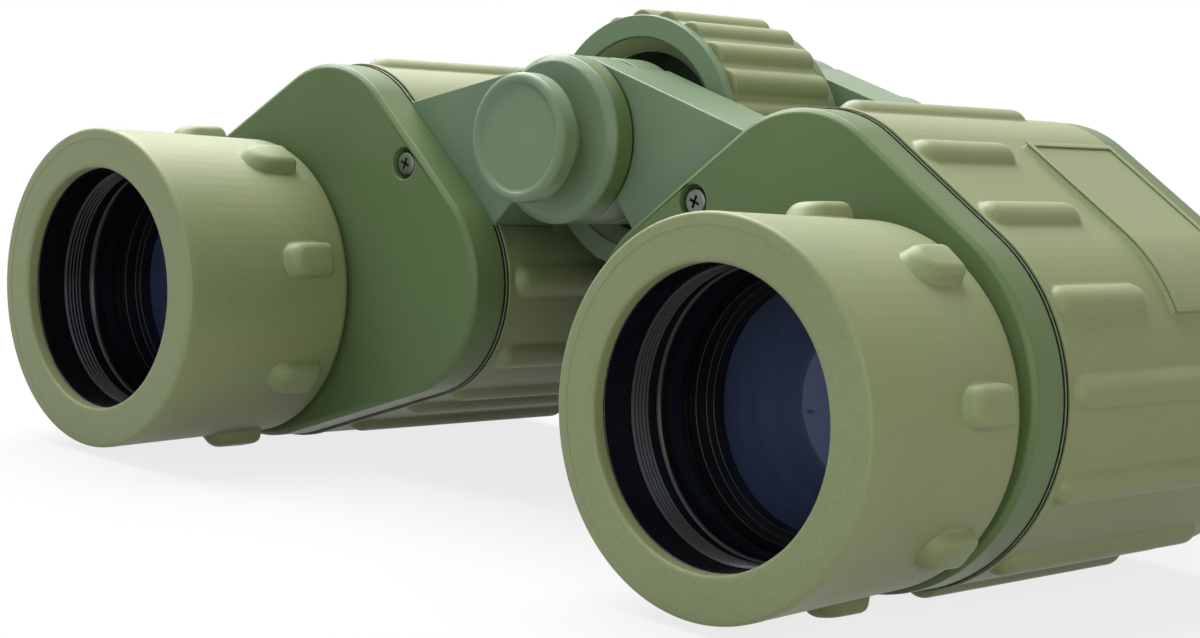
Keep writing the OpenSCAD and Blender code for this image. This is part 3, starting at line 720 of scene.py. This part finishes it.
@dataclass
class GlareThread(TurnedPiece):
    """Fine ridges and a round bead inside an objective barrel, which keep stray light off the glass."""

    front: float = -25.2 * MM
    rear: float = -15.6 * MM
    outer_r: float = 17.46 * MM
    valley_r: float = 17.4 * MM
    crest_r: float = 17.1 * MM
    ridges: int = 5
    pitch: float = 0.6 * MM
    crest_span: Pair = (0.4, 0.6)
    bead: Pair = (-20.8 * MM, -16.2 * MM)
    bead_height: float = 0.8 * MM
    bead_steps: int = 12

    def section(self) -> list[Pair]:
        """Works out the ridges and the bead behind them.

        Returns:
            Radius and station of the corners.
        """
        points = [(self.outer_r, self.rear), (self.outer_r, self.front)]
        for ridge in range(self.ridges):
            start = self.front + ridge * self.pitch
            points.append((self.valley_r, start))
            points += [(self.crest_r, start + share * self.pitch) for share in self.crest_span]
        points.append((self.valley_r, self.front + self.ridges * self.pitch))
        points += bulge(self.valley_r, -self.bead_height, self.bead, self.bead_steps)
        return points + [(self.valley_r, self.rear)]


@dataclass
class SleeveLip(TurnedPiece):
    """The narrow lip round the front edge of an objective sleeve."""

    front: float
    segments: int = field(default=160, kw_only=True)
    outer_r: float = 23.27 * MM
    width: float = 1.35 * MM
    face: float = 1.55 * MM
    edge_round: float = 0.5 * MM
    round_steps: int = 6

    def section(self) -> list[Pair]:
        """Works out the lip, its root inside the sleeve.

        Returns:
            Radius and station of the corners.
        """
        root_r, rear = self.outer_r - self.face, self.front + self.width
        points = [(root_r, self.front)]
        for step in range(self.round_steps + 1):
            angle = math.pi / 2 * step / self.round_steps
            inward = self.edge_round * (1.0 - math.sin(angle))
            backward = self.edge_round * (1.0 - math.cos(angle))
            points.append((self.outer_r - inward, self.front + backward))
        return points + [(self.outer_r, rear), (root_r, rear)]


@dataclass
class HubBand(TurnedPiece):
    """A band of its own finish round the hub in front of the hinge; the darker paint band is partly two-tone
    paint and partly painted shade on the hub's side.
    """

    stations: Pair
    hub_r: float
    stand: float = 0.02 * MM
    depth: float = 0.3 * MM

    def section(self) -> list[Pair]:
        """Works out the band, sunk into the hub.

        Returns:
            Radius and station of the corners.
        """
        outer, inner = self.hub_r + self.stand, self.hub_r - self.depth
        front, rear = self.stations
        return [(inner, front), (outer, front), (outer, rear), (inner, rear)]


@dataclass
class WheelFunnel(TurnedPiece):
    """The slanted mouth of the hollow in the front of the focus wheel."""

    front: float
    mouth_r: float = 14.88 * MM
    throat_r: float = 13.0 * MM
    depth: float = 2.1 * MM
    wall: float = 0.5 * MM

    def section(self) -> list[Pair]:
        """Works out the wall of the funnel.

        Returns:
            Radius and station of the corners.
        """
        throat = self.front + self.depth
        rear = throat + self.wall
        slope = [(self.mouth_r, self.front), (self.throat_r, throat)]
        return slope + [(self.throat_r, rear), (self.mouth_r, rear)]


@dataclass
class EyecupFolds(TurnedPiece):
    """The soft ridges along which a rubber eyecup folds down."""

    cup: str
    count: int
    rear_gap: float = 3.4 * MM
    pitch: float = 2.7 * MM
    height: float = 0.35 * MM
    width: float = 1.1 * MM
    round_steps: int = 6

    def section(self) -> list[Pair]:
        """Works out one ridge, its root inside the cup.

        Returns:
            Radius and station of the corners.
        """
        low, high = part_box(self.cup)
        cup_r, half = (high.x - low.x) / 2, self.width / 2
        root_r = cup_r - self.height
        crest = bulge(cup_r, self.height, (-half, half), self.round_steps)
        return [(root_r, -half), *crest, (root_r, half)]

    def build(self, dressing: Dressing) -> None:
        """Turns one ridge, copies it along the cup and joins the copies.

        Args:
            dressing: Gives the material.
        """
        ridge = self.turn()
        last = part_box(self.cup)[1].y - self.rear_gap
        stations = [last - number * self.pitch for number in reversed(range(self.count))]
        places = [Matrix.Translation((0.0, station, 0.0)) for station in stations]
        piece = place_copies(ridge, self.name, places)
        bpy.data.objects.remove(ridge)
        dressing.attach(piece, self.slot, self.body)


@dataclass
class ArmourStrip:
    """A strip of the armour's outside, cut from a copy of the armour and raised."""

    side: Side
    name: str
    slot: str
    stations: Pair
    height: float
    sunk: float = 0.0
    shift: float = 0.0
    edge_round: float = 0.0
    round_segments: int = 3
    round_angle: float = math.radians(50)
    crease: float = math.radians(40)
    middle: Pair = (45.0 * MM, -20.0 * MM)
    wall_tilt: float = 0.2
    outward_share: float = 0.3

    def copy_armour(self) -> Piece:
        """Copies the armour, merges its corners and leaves the copy in edit mode.

        Returns:
            The copy.
        """
        armour = frame["nodes"][self.side.node("housing_armour")]
        name = self.side.node(self.name)
        piece = bpy.data.objects.new(name, armour.data.copy())
        piece.data.name = name
        bpy.context.scene.collection.objects.link(piece)
        bpy.ops.object.select_all(action="DESELECT")
        piece.select_set(True)
        bpy.context.view_layer.objects.active = piece
        bpy.ops.object.mode_set(mode="EDIT")
        bpy.ops.mesh.select_all(action="SELECT")
        bpy.ops.mesh.remove_doubles(threshold=MERGE_GAP)
        return piece

    def is_wanted(self, corners: list[Vector]) -> bool:
        """Says whether a face lies in the outer wall between the stations.

        Args:
            corners: Corners of the face.

        Returns:
            True for a face of the strip.
        """
        low, high = self.stations
        if min(c.y for c in corners) < low - CLOSE or max(c.y for c in corners) > high + CLOSE:
            return False
        normal = (corners[1] - corners[0]).cross(corners[2] - corners[0]).normalized()
        place = sum(corners, Vector()) / len(corners)
        middle_x, middle_z = self.side.value * self.middle[0], self.middle[1]
        outward = Vector((place.x - middle_x, 0.0, place.z - middle_z)).normalized()
        return abs(normal.y) < self.wall_tilt and normal.dot(outward) > self.outward_share

    def cut(self, piece: Piece) -> None:
        """Cuts the copy down to the strip.

        Args:
            piece: The copy, in edit mode.
        """
        for station in self.stations:
            bpy.ops.mesh.select_all(action="SELECT")
            plane = {"plane_co": (0.0, station, 0.0), "plane_no": (0.0, 1.0, 0.0)}
            bpy.ops.mesh.bisect(**plane, threshold=CLOSE)
        select_where(piece, "FACE", self.is_wanted)
        bpy.ops.mesh.select_all(action="INVERT")
        bpy.ops.mesh.delete(type="FACE")
        bpy.ops.mesh.select_all(action="SELECT")
        bpy.ops.transform.translate(value=(0.0, self.shift, 0.0))

    def build(self, dressing: Dressing) -> None:
        """Cuts the strip, gives it a thickness and rounds its edges.

        Args:
            dressing: Gives the material.
        """
        piece = self.copy_armour()
        self.cut(piece)
        bpy.ops.object.mode_set(mode="OBJECT")
        thickness = self.height + self.sunk
        offset = 2.0 * self.height / thickness - 1.0
        apply_modifier(piece, "wall", "SOLIDIFY", thickness=thickness, offset=offset)
        if self.edge_round:
            apply_modifier(
                piece, "round", "BEVEL",
                width=self.edge_round, segments=self.round_segments, angle_limit=self.round_angle,
            )
        bpy.ops.object.shade_smooth_by_angle(angle=self.crease)
        dressing.attach(piece, self.slot, self.side.body)


@dataclass
class PanelBorder(ArmourStrip):
    """The narrow raised border round the bare panel on the shoulder of the armour."""

    centre: Pair = (58.546 * MM, -26.291 * MM)
    panel_r: float = 25.0 * MM
    flat_from: float = math.radians(57.9)
    sector: Pair = (math.radians(29.0), math.radians(95.0))
    width: float = 0.9 * MM
    slack: float = 0.1 * MM
    sector_slack: float = 0.02

    def is_wanted(self, corners: list[Vector]) -> bool:
        """Says whether a face lies on the panel.

        Args:
            corners: Corners of the face.

        Returns:
            True for a face of the panel.
        """
        return all(self.on_panel(corner) for corner in corners)

    def on_panel(self, point: Vector) -> bool:
        """Says whether a point lies on the face of the panel, which is round and then flat.

        Args:
            point: The point.

        Returns:
            True on the panel.
        """
        x = self.side.value * point.x - self.centre[0]
        z = point.z - self.centre[1]
        angle = math.atan2(z, x)
        bearing = min(angle, self.flat_from)
        reach = x * math.cos(bearing) + z * math.sin(bearing)
        inside = self.sector[0] - self.sector_slack < angle < self.sector[1] + self.sector_slack
        between = self.stations[0] - self.slack < point.y < self.stations[1] + self.slack
        return inside and between and abs(reach - self.panel_r) < self.slack

    def cut(self, piece: Piece) -> None:
        """Cuts the copy down to a frame round the panel's face.

        Args:
            piece: The copy, in edit mode.
        """
        super().cut(piece)
        bpy.ops.mesh.inset(thickness=self.width, use_boundary=True)
        bpy.ops.mesh.delete(type="FACE")


@dataclass
class GripPills:
    """The grip pills round an objective sleeve: a sloping round front, a square rear, crisp edges."""

    side: Side
    axis: Pair
    turn: float
    count: int = 8
    stations: Pair = (-15.6 * MM, -5.55 * MM)
    root_r: float = 21.4 * MM
    top_r: float = 24.48 * MM
    half_width: float = 2.72 * MM
    draft: float = 0.86
    front_slope: float = 2.2 * MM
    rear_slope: float = 0.7 * MM
    front_round: float = 2.1 * MM
    front_segments: int = 6
    edge_round: float = 1.05 * MM
    edge_segments: int = 4
    upright: float = 1.0 * MM
    crease: float = math.radians(40)

    def build_pill(self) -> Piece:
        """Models one pill that stands on the sleeve towards +X.

        Returns:
            The pill, round the origin.
        """
        low, high = self.stations
        middle_r, middle = (self.top_r + self.root_r) / 2, (low + high) / 2
        bpy.ops.object.select_all(action="DESELECT")
        bpy.ops.mesh.primitive_cube_add(
            size=1.0, location=(middle_r, middle, 0.0),
            scale=(self.top_r - self.root_r, high - low, 2.0 * self.half_width),
        )
        pill = bpy.context.active_object
        bpy.ops.object.transform_apply(location=True, rotation=True, scale=True)
        select_where(pill, "FACE", lambda c: min(p.x for p in c) > middle_r)
        bpy.ops.transform.resize(value=(1.0, 1.0, self.draft), center_override=(self.top_r, middle, 0.0))
        select_where(pill, "VERT", lambda c: c[0].x > middle_r and c[0].y < middle)
        bpy.ops.transform.translate(value=(0.0, self.front_slope, 0.0))
        select_where(pill, "VERT", lambda c: c[0].x > middle_r and c[0].y > middle)
        bpy.ops.transform.translate(value=(0.0, -self.rear_slope, 0.0))
        select_where(pill, "EDGE", lambda c: max(p.y for p in c) < middle and self.is_upright(c))
        bpy.ops.mesh.bevel(offset=self.front_round, segments=self.front_segments, affect="EDGES")
        select_where(pill, "EDGE", self.is_rim)
        bpy.ops.mesh.bevel(offset=self.edge_round, segments=self.edge_segments, affect="EDGES")
        bpy.ops.object.mode_set(mode="OBJECT")
        bpy.ops.object.shade_smooth_by_angle(angle=self.crease)
        return pill

    def is_upright(self, ends: list[Vector]) -> bool:
        """Says whether an edge rises from the sleeve."""
        return abs(ends[0].x - ends[1].x) > self.upright

    def is_rim(self, ends: list[Vector]) -> bool:
        """Says whether an edge bounds the top of a pill or stands at its rear.

        Args:
            ends: The two ends of the edge.

        Returns:
            True for an edge that is rounded.
        """
        on_top = all(abs(end.x - self.top_r) < CLOSE for end in ends)
        at_rear = all(end.y > self.stations[1] - self.rear_slope - CLOSE for end in ends)
        return on_top or (at_rear and self.is_upright(ends))

    def build(self, dressing: Dressing) -> None:
        """Copies the pill round the sleeve and joins the copies.

        Args:
            dressing: Gives the material.
        """
        centre = Matrix.Translation((self.axis[0], 0.0, self.axis[1]))
        places = []
        for number in range(self.count):
            angle = self.turn + number * math.tau / self.count
            bearing = angle if self.side is Side.LEFT else math.pi - angle
            places.append(centre @ Matrix.Rotation(-bearing, 4, "Y"))
        pill = self.build_pill()
        piece = place_copies(pill, self.side.node("grip_pills"), places)
        bpy.data.objects.remove(pill)
        dressing.attach(piece, "sleeve_rubber", self.side.body)


@dataclass
class CrossHeadScrew:
    """A pan-headed screw with a cross recess, modelled once at the origin, its head towards -Y."""

    head_r: float = 1.8 * MM
    head_h: float = 1.3 * MM
    head_segments: int = 64
    edge_round: float = 0.45 * MM
    edge_segments: int = 4
    blade_reach: float = 1.15 * MM
    blade_half: float = 0.26 * MM
    blade_taper: float = 0.55
    recess: float = 0.8 * MM
    shank_r: float = 1.25 * MM
    shank_end: float = 11.2 * MM
    crease: float = math.radians(35)

    def build_blade(self, reach: float, half: float) -> Piece:
        """Makes one tapered blade of the cutter.

        Args:
            reach: Half of its size along X.
            half: Half of its size along Z.

        Returns:
            The blade.
        """
        bpy.ops.object.select_all(action="DESELECT")
        bpy.ops.mesh.primitive_cube_add(size=2.0, location=(0.0, 0.0, 0.0), scale=(reach, self.recess, half))
        blade = bpy.context.active_object
        bpy.ops.object.transform_apply(location=True, rotation=True, scale=True)
        select_where(blade, "VERT", lambda c: c[0].y > 0.0)
        taper = (self.blade_taper, 1.0, self.blade_taper)
        bpy.ops.transform.resize(value=taper, center_override=(0.0, self.recess, 0.0))
        bpy.ops.object.mode_set(mode="OBJECT")
        return blade

    def build(self) -> Piece:
        """Models the screw: head, shank and the recess that the two crossed blades cut.

        Returns:
            The screw, at the origin.
        """
        cutter = self.build_blade(self.blade_reach, self.blade_half)
        crossing = self.build_blade(self.blade_half, self.blade_reach)
        apply_modifier(cutter, "cross", "BOOLEAN", operation="UNION", object=crossing)
        bpy.ops.object.select_all(action="DESELECT")
        bpy.ops.mesh.primitive_cylinder_add(
            vertices=self.head_segments, radius=self.head_r, depth=self.head_h,
            location=(0.0, self.head_h / 2, 0.0), rotation=(math.pi / 2, 0.0, 0.0),
        )
        screw = bpy.context.active_object
        bpy.ops.object.transform_apply(location=True, rotation=True, scale=True)
        select_where(screw, "FACE", lambda c: min(p.y for p in c) > self.head_h / 2)
        bpy.ops.mesh.inset(thickness=self.head_r - self.shank_r)
        bpy.ops.mesh.extrude_region_move(TRANSFORM_OT_translate={"value": (0.0, self.shank_end, 0.0)})
        select_where(screw, "FACE", lambda c: max(p.y for p in c) < self.head_h / 2)
        bpy.ops.mesh.bevel(offset=self.edge_round, segments=self.edge_segments, affect="EDGES")
        bpy.ops.object.mode_set(mode="OBJECT")
        apply_modifier(screw, "recess", "BOOLEAN", operation="DIFFERENCE", object=cutter)
        for tool in (cutter, crossing):
            bpy.data.objects.remove(tool)
        bpy.ops.object.select_all(action="DESELECT")
        screw.select_set(True)
        bpy.ops.object.shade_smooth_by_angle(angle=self.crease)
        return screw


@dataclass
class CoverScrews:
    """The cross-head screws of one cover, in place of its plain ones."""

    node: str
    body: str
    places: list[Place]
    turn: float
    turn_step: float = 1.0
    backwards: bool = False

    def build(self, screw: Piece, dressing: Dressing) -> None:
        """Copies the screw to its places and joins the copies.

        Args:
            screw: The pattern screw, at the origin.
            dressing: Gives the material.
        """
        facing = Matrix.Rotation(math.pi if self.backwards else 0.0, 4, "Z")
        places = []
        for number, place in enumerate(self.places):
            cross_turn = Matrix.Rotation(self.turn + number * self.turn_step, 4, "Y")
            places.append(Matrix.Translation(place) @ facing @ cross_turn)
        piece = place_copies(screw, f"{self.node}_cross_head", places)
        dressing.attach(piece, "screw_steel", self.body)
        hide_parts(self.node)


@dataclass
class Half:
    """The fine pieces of one half of the glass."""

    side: Side
    pill_turn: float
    panel_length: float = 20.0 * MM
    panel_gap: float = 2.0 * MM
    border_height: float = 0.28 * MM
    border_round: float = 0.1 * MM
    seam_width: float = 0.15 * MM
    seam_stand: float = 0.02 * MM
    seam_depth: float = 0.3 * MM
    cover_seam_shift: float = -0.68 * MM
    rim_seam_shift: float = -0.08 * MM
    bead_span: Pair = (0.1 * MM, 0.7 * MM)
    bead_height: float = 0.22 * MM
    bead_depth: float = 0.1 * MM
    bead_round: float = 0.15 * MM
    lip_stand: float = 0.03 * MM
    front_screw_turn: float = 0.3
    rear_screw_turn: float = 0.8

    def build(self, screw: Piece, dressing: Dressing) -> None:
        """Models the pieces, from the objective barrel to the cover screws.

        Args:
            screw: The pattern screw.
            dressing: Gives the materials.
        """
        side = self.side
        objective = axis_of(side.node("objective_barrel"))
        GlareThread(side.node("glare_thread"), "black_metal", side.body, objective).build(dressing)
        self.build_armour_trim(dressing)
        GripPills(side, objective, self.pill_turn).build(dressing)
        lip_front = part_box(side.node("objective_sleeve"))[0].y - self.lip_stand
        SleeveLip(side.node("sleeve_lip"), "sleeve_rubber", side.body, objective, lip_front).build(dressing)
        self.build_screws(screw, dressing)

    def build_armour_trim(self, dressing: Dressing) -> None:
        """Models the panel's border, and the seams and the bead at the front edge of the armour.

        Args:
            dressing: Gives the materials.
        """
        front, rear = (corner.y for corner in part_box(self.side.node("housing_armour")))
        panel_rear = rear - self.panel_gap
        panel = (panel_rear - self.panel_length, panel_rear)
        PanelBorder(
            self.side, "panel_border", "armour_rubber", panel, self.border_height,
            edge_round=self.border_round,
        ).build(dressing)
        seam = (front, front + self.seam_width)
        for name, shift in (("cover_seam", self.cover_seam_shift), ("rim_seam", self.rim_seam_shift)):
            ArmourStrip(
                self.side, name, "black_metal", seam, self.seam_stand, self.seam_depth, shift
            ).build(dressing)
        bead = (front + self.bead_span[0], front + self.bead_span[1])
        ArmourStrip(
            self.side, "edge_bead", "armour_rubber", bead, self.bead_height, self.bead_depth,
            edge_round=self.bead_round,
        ).build(dressing)

    def build_screws(self, screw: Piece, dressing: Dressing) -> None:
        """Puts cross-head screws in place of the plain ones: one in the front cover, two in the rear.

        Args:
            screw: The pattern screw.
            dressing: Gives the material.
        """
        front_node = self.side.node("front_cover_screw")
        low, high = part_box(front_node)
        seat_r = (high.x - low.x) / 2
        x, z = axis_of(front_node)
        front_places = [(x, low.y, z)]
        CoverScrews(front_node, self.side.body, front_places, self.front_screw_turn).build(screw, dressing)
        rear_node = self.side.node("rear_cover_screws")
        low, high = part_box(rear_node)
        outer_x = max(abs(low.x), abs(high.x)) - seat_r
        rear_places = [(x, high.y, z), (self.side.value * outer_x, high.y, low.z + seat_r)]
        rear = CoverScrews(rear_node, self.side.body, rear_places, self.rear_screw_turn, backwards=True)
        rear.build(screw, dressing)


@dataclass
class HingeTrim:
    """The fine pieces on the hinge axis."""

    # Stations of the band of darker cover paint on the hub's side, partly a paint of its own and partly
    # painted shade.
    band: Pair = (1.4 * MM, 4.05 * MM)
    groove: Pair = (4.05 * MM, 4.28 * MM)
    funnel_gap: float = 0.45 * MM

    def build(self, dressing: Dressing) -> None:
        """Models the band of darker paint on the hub's side, which is partly painted shade, the groove of
        the hub, and the mouth of the focus wheel.

        Args:
            dressing: Gives the materials.
        """
        hub_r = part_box("hinge_hub")[1].x
        body = Side.LEFT.body
        # The band gives the hub's side the darker cover paint: partly two-tone paint, partly painted shade
        # where the hub's side turns from the light.
        HubBand("hub_band", "cover_paint", body, HINGE_AXIS, self.band, hub_r).build(dressing)
        HubBand("hub_groove", "black_metal", body, HINGE_AXIS, self.groove, hub_r).build(dressing)
        funnel_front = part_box("focus_wheel")[0].y + self.funnel_gap
        WheelFunnel("wheel_funnel", "armour_rubber", "focus_drive", HINGE_AXIS, funnel_front).build(dressing)


@dataclass(frozen=True)
class SoftLamp:
    """A square lamp with a soft face."""

    name: str
    place: Place
    size: float
    power: float
    colour: Colour

    def build(self, target: Vector) -> None:
        """Makes the lamp.

        Args:
            target: The point that it faces.
        """
        lamp = bpy.data.lights.new(self.name, "AREA")
        lamp.size = self.size
        lamp.energy = self.power
        lamp.color = self.colour
        holder = bpy.data.objects.new(self.name, lamp)
        holder.location = self.place
        holder.rotation_euler = (target - Vector(self.place)).to_track_quat("-Z", "Y").to_euler()
        bpy.context.scene.collection.objects.link(holder)


LAMPS = (
    SoftLamp("top_softbox", (-0.3, 0.06, 0.55), size=0.7, power=14.5, colour=(1.0, 0.97, 0.98)),
    SoftLamp("front_fill", (0.12, -0.85, 0.22), size=0.8, power=2.5, colour=(0.63, 0.79, 1.0)),
    SoftLamp("side_fill", (0.42, -0.2, 0.05), size=0.4, power=1.4, colour=(1.0, 0.98, 0.76)),
)


@dataclass
class Studio:
    """Pale floor, soft lamps, white surround and the camera at the viewing angle of the photograph."""

    eye: Place = (0.23295, -0.2335, 0.0123)
    ahead: Place = (-0.683, 0.722, -0.110)
    above: Place = (-0.132, 0.026, 0.991)
    lens: float = 72.12
    clip_start: float = 0.01
    target: Place = (0.02, 0.01, -0.01)
    floor_size: float = 6.0
    floor_gap: float = 0.2 * MM
    floor_colour: Colour = (0.42, 0.42, 0.42)
    floor_roughness: float = 0.9
    white_share: float = 0.8
    shadow_reach: Pair = (0.15, 0.4)
    surround_colour: Colour = (1.0, 1.0, 1.0)
    surround_light: float = 0.11
    surround_seen: float = 1.0

    def build(self) -> None:
        """Makes the floor, the surround, the lamps and the camera."""
        self.build_floor()
        self.build_surround()
        for lamp in LAMPS:
            lamp.build(Vector(self.target))
        self.build_camera()

    def build_floor(self) -> None:
        """Makes the floor under the lowest point of the object, which fades to white away from it."""
        bpy.ops.object.select_all(action="DESELECT")
        height = CAD_BOX[0].z - self.floor_gap
        bpy.ops.mesh.primitive_plane_add(size=self.floor_size, location=(0.0, 0.0, height))
        floor = bpy.context.active_object
        floor.name = "floor"
        recipe = Recipe("pale_floor")
        floor.data.materials.append(
            recipe.finish(base_color=self.floor_colour, roughness=self.floor_roughness)
        )
        tree = recipe.tree
        distance = add_node(tree, "VectorMath")
        distance.operation = "LENGTH"
        tree.links.new(recipe.coordinates, distance.inputs[0])
        near, far = self.shadow_reach
        fade = add_node(
            tree, "MapRange",
            value=distance.outputs["Value"], from_min=near, from_max=far, to_min=self.white_share,
        )
        fade.interpolation_type = "SMOOTHSTEP"
        share = calculate(tree, "MULTIPLY", self.seen_directly(tree), fade.outputs["Result"])
        mix = add_node(tree, "MixShader", fac=share)
        tree.links.new(recipe.shader.outputs["BSDF"], mix.inputs[1])
        tree.links.new(add_node(tree, "Emission").outputs["Emission"], mix.inputs[2])
        fill_sockets(tree, find_node(tree, "OUTPUT_MATERIAL"), surface=mix.outputs["Shader"])

    def seen_directly(self, tree: bpy.types.NodeTree) -> Socket:
        """Tells what the camera sees straight, in a mirror or through glass.

        Args:
            tree: The node tree.

        Returns:
            1 for what it sees so, and else 0.
        """
        path = add_node(tree, "LightPath").outputs
        mirrored = calculate(tree, "MAXIMUM", path["Is Camera Ray"], path["Is Glossy Ray"])
        return calculate(tree, "MAXIMUM", mirrored, path["Is Transmission Ray"])

    def build_surround(self) -> None:
        """Makes a white surround that lights the object only softly."""
        world = bpy.data.worlds.new("surround")
        bpy.context.scene.world = world
        world.use_nodes = True
        tree = world.node_tree
        strength = add_node(
            tree, "MapRange",
            value=self.seen_directly(tree), to_min=self.surround_light, to_max=self.surround_seen,
        )
        fill_sockets(
            tree, find_node(tree, "BACKGROUND"),
            color=self.surround_colour, strength=strength.outputs["Result"],
        )

    def build_camera(self) -> None:
        """Makes the camera of the photograph's viewing angle."""
        camera = bpy.data.cameras.new("camera")
        camera.lens = self.lens
        camera.clip_start = self.clip_start
        holder = bpy.data.objects.new("camera", camera)
        back = -Vector(self.ahead).normalized()
        right = Vector(self.above).cross(back).normalized()
        up = back.cross(right)
        turn = Matrix((right, up, back)).transposed().to_4x4()
        holder.matrix_world = Matrix.Translation(self.eye) @ turn
        bpy.context.scene.collection.objects.link(holder)
        bpy.context.scene.camera = holder


# Angle of the first grip pill of each sleeve from the outer side.
PILL_TURNS = {Side.LEFT: math.radians(9.6), Side.RIGHT: math.radians(28.6)}
# Body that carries each eyecup, and the number of its fold ridges.
CUP_FOLDS = {"left_eyecup": ("left_carriage", 3), "right_eyecup": ("right_ocular", 2)}


def dress_packed_pieces(dressing: Dressing) -> None:
    """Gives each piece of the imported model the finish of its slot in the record.

    Args:
        dressing: Gives the finishes.
    """
    slots = {row["node"]: row["material_slot"] for row in frame["record"]["subparts"]}
    for name, node in frame["nodes"].items():
        dressing.dress(node, slots[name])
        LOG.info("dressed %s as %s", name, slots[name])


def build_fine_pieces(dressing: Dressing) -> None:
    """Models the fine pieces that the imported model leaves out.

    Args:
        dressing: Gives their materials.
    """
    screw = CrossHeadScrew().build()
    for side, pill_turn in PILL_TURNS.items():
        Half(side, pill_turn).build(screw, dressing)
    bpy.data.objects.remove(screw)
    HingeTrim().build(dressing)
    for cup, (body, count) in CUP_FOLDS.items():
        EyecupFolds(f"{cup}_folds", "eyecup_rubber", body, axis_of(cup), cup, count).build(dressing)


def main() -> None:
    """Builds the studio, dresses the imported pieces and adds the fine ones."""
    logging.basicConfig(level=logging.INFO, format="%(message)s")
    bpy.context.scene.view_settings.view_transform = "Standard"
    Studio().build()
    dressing = Dressing()
    dress_packed_pieces(dressing)
    build_fine_pieces(dressing)


if __name__ == "__main__":
    main()
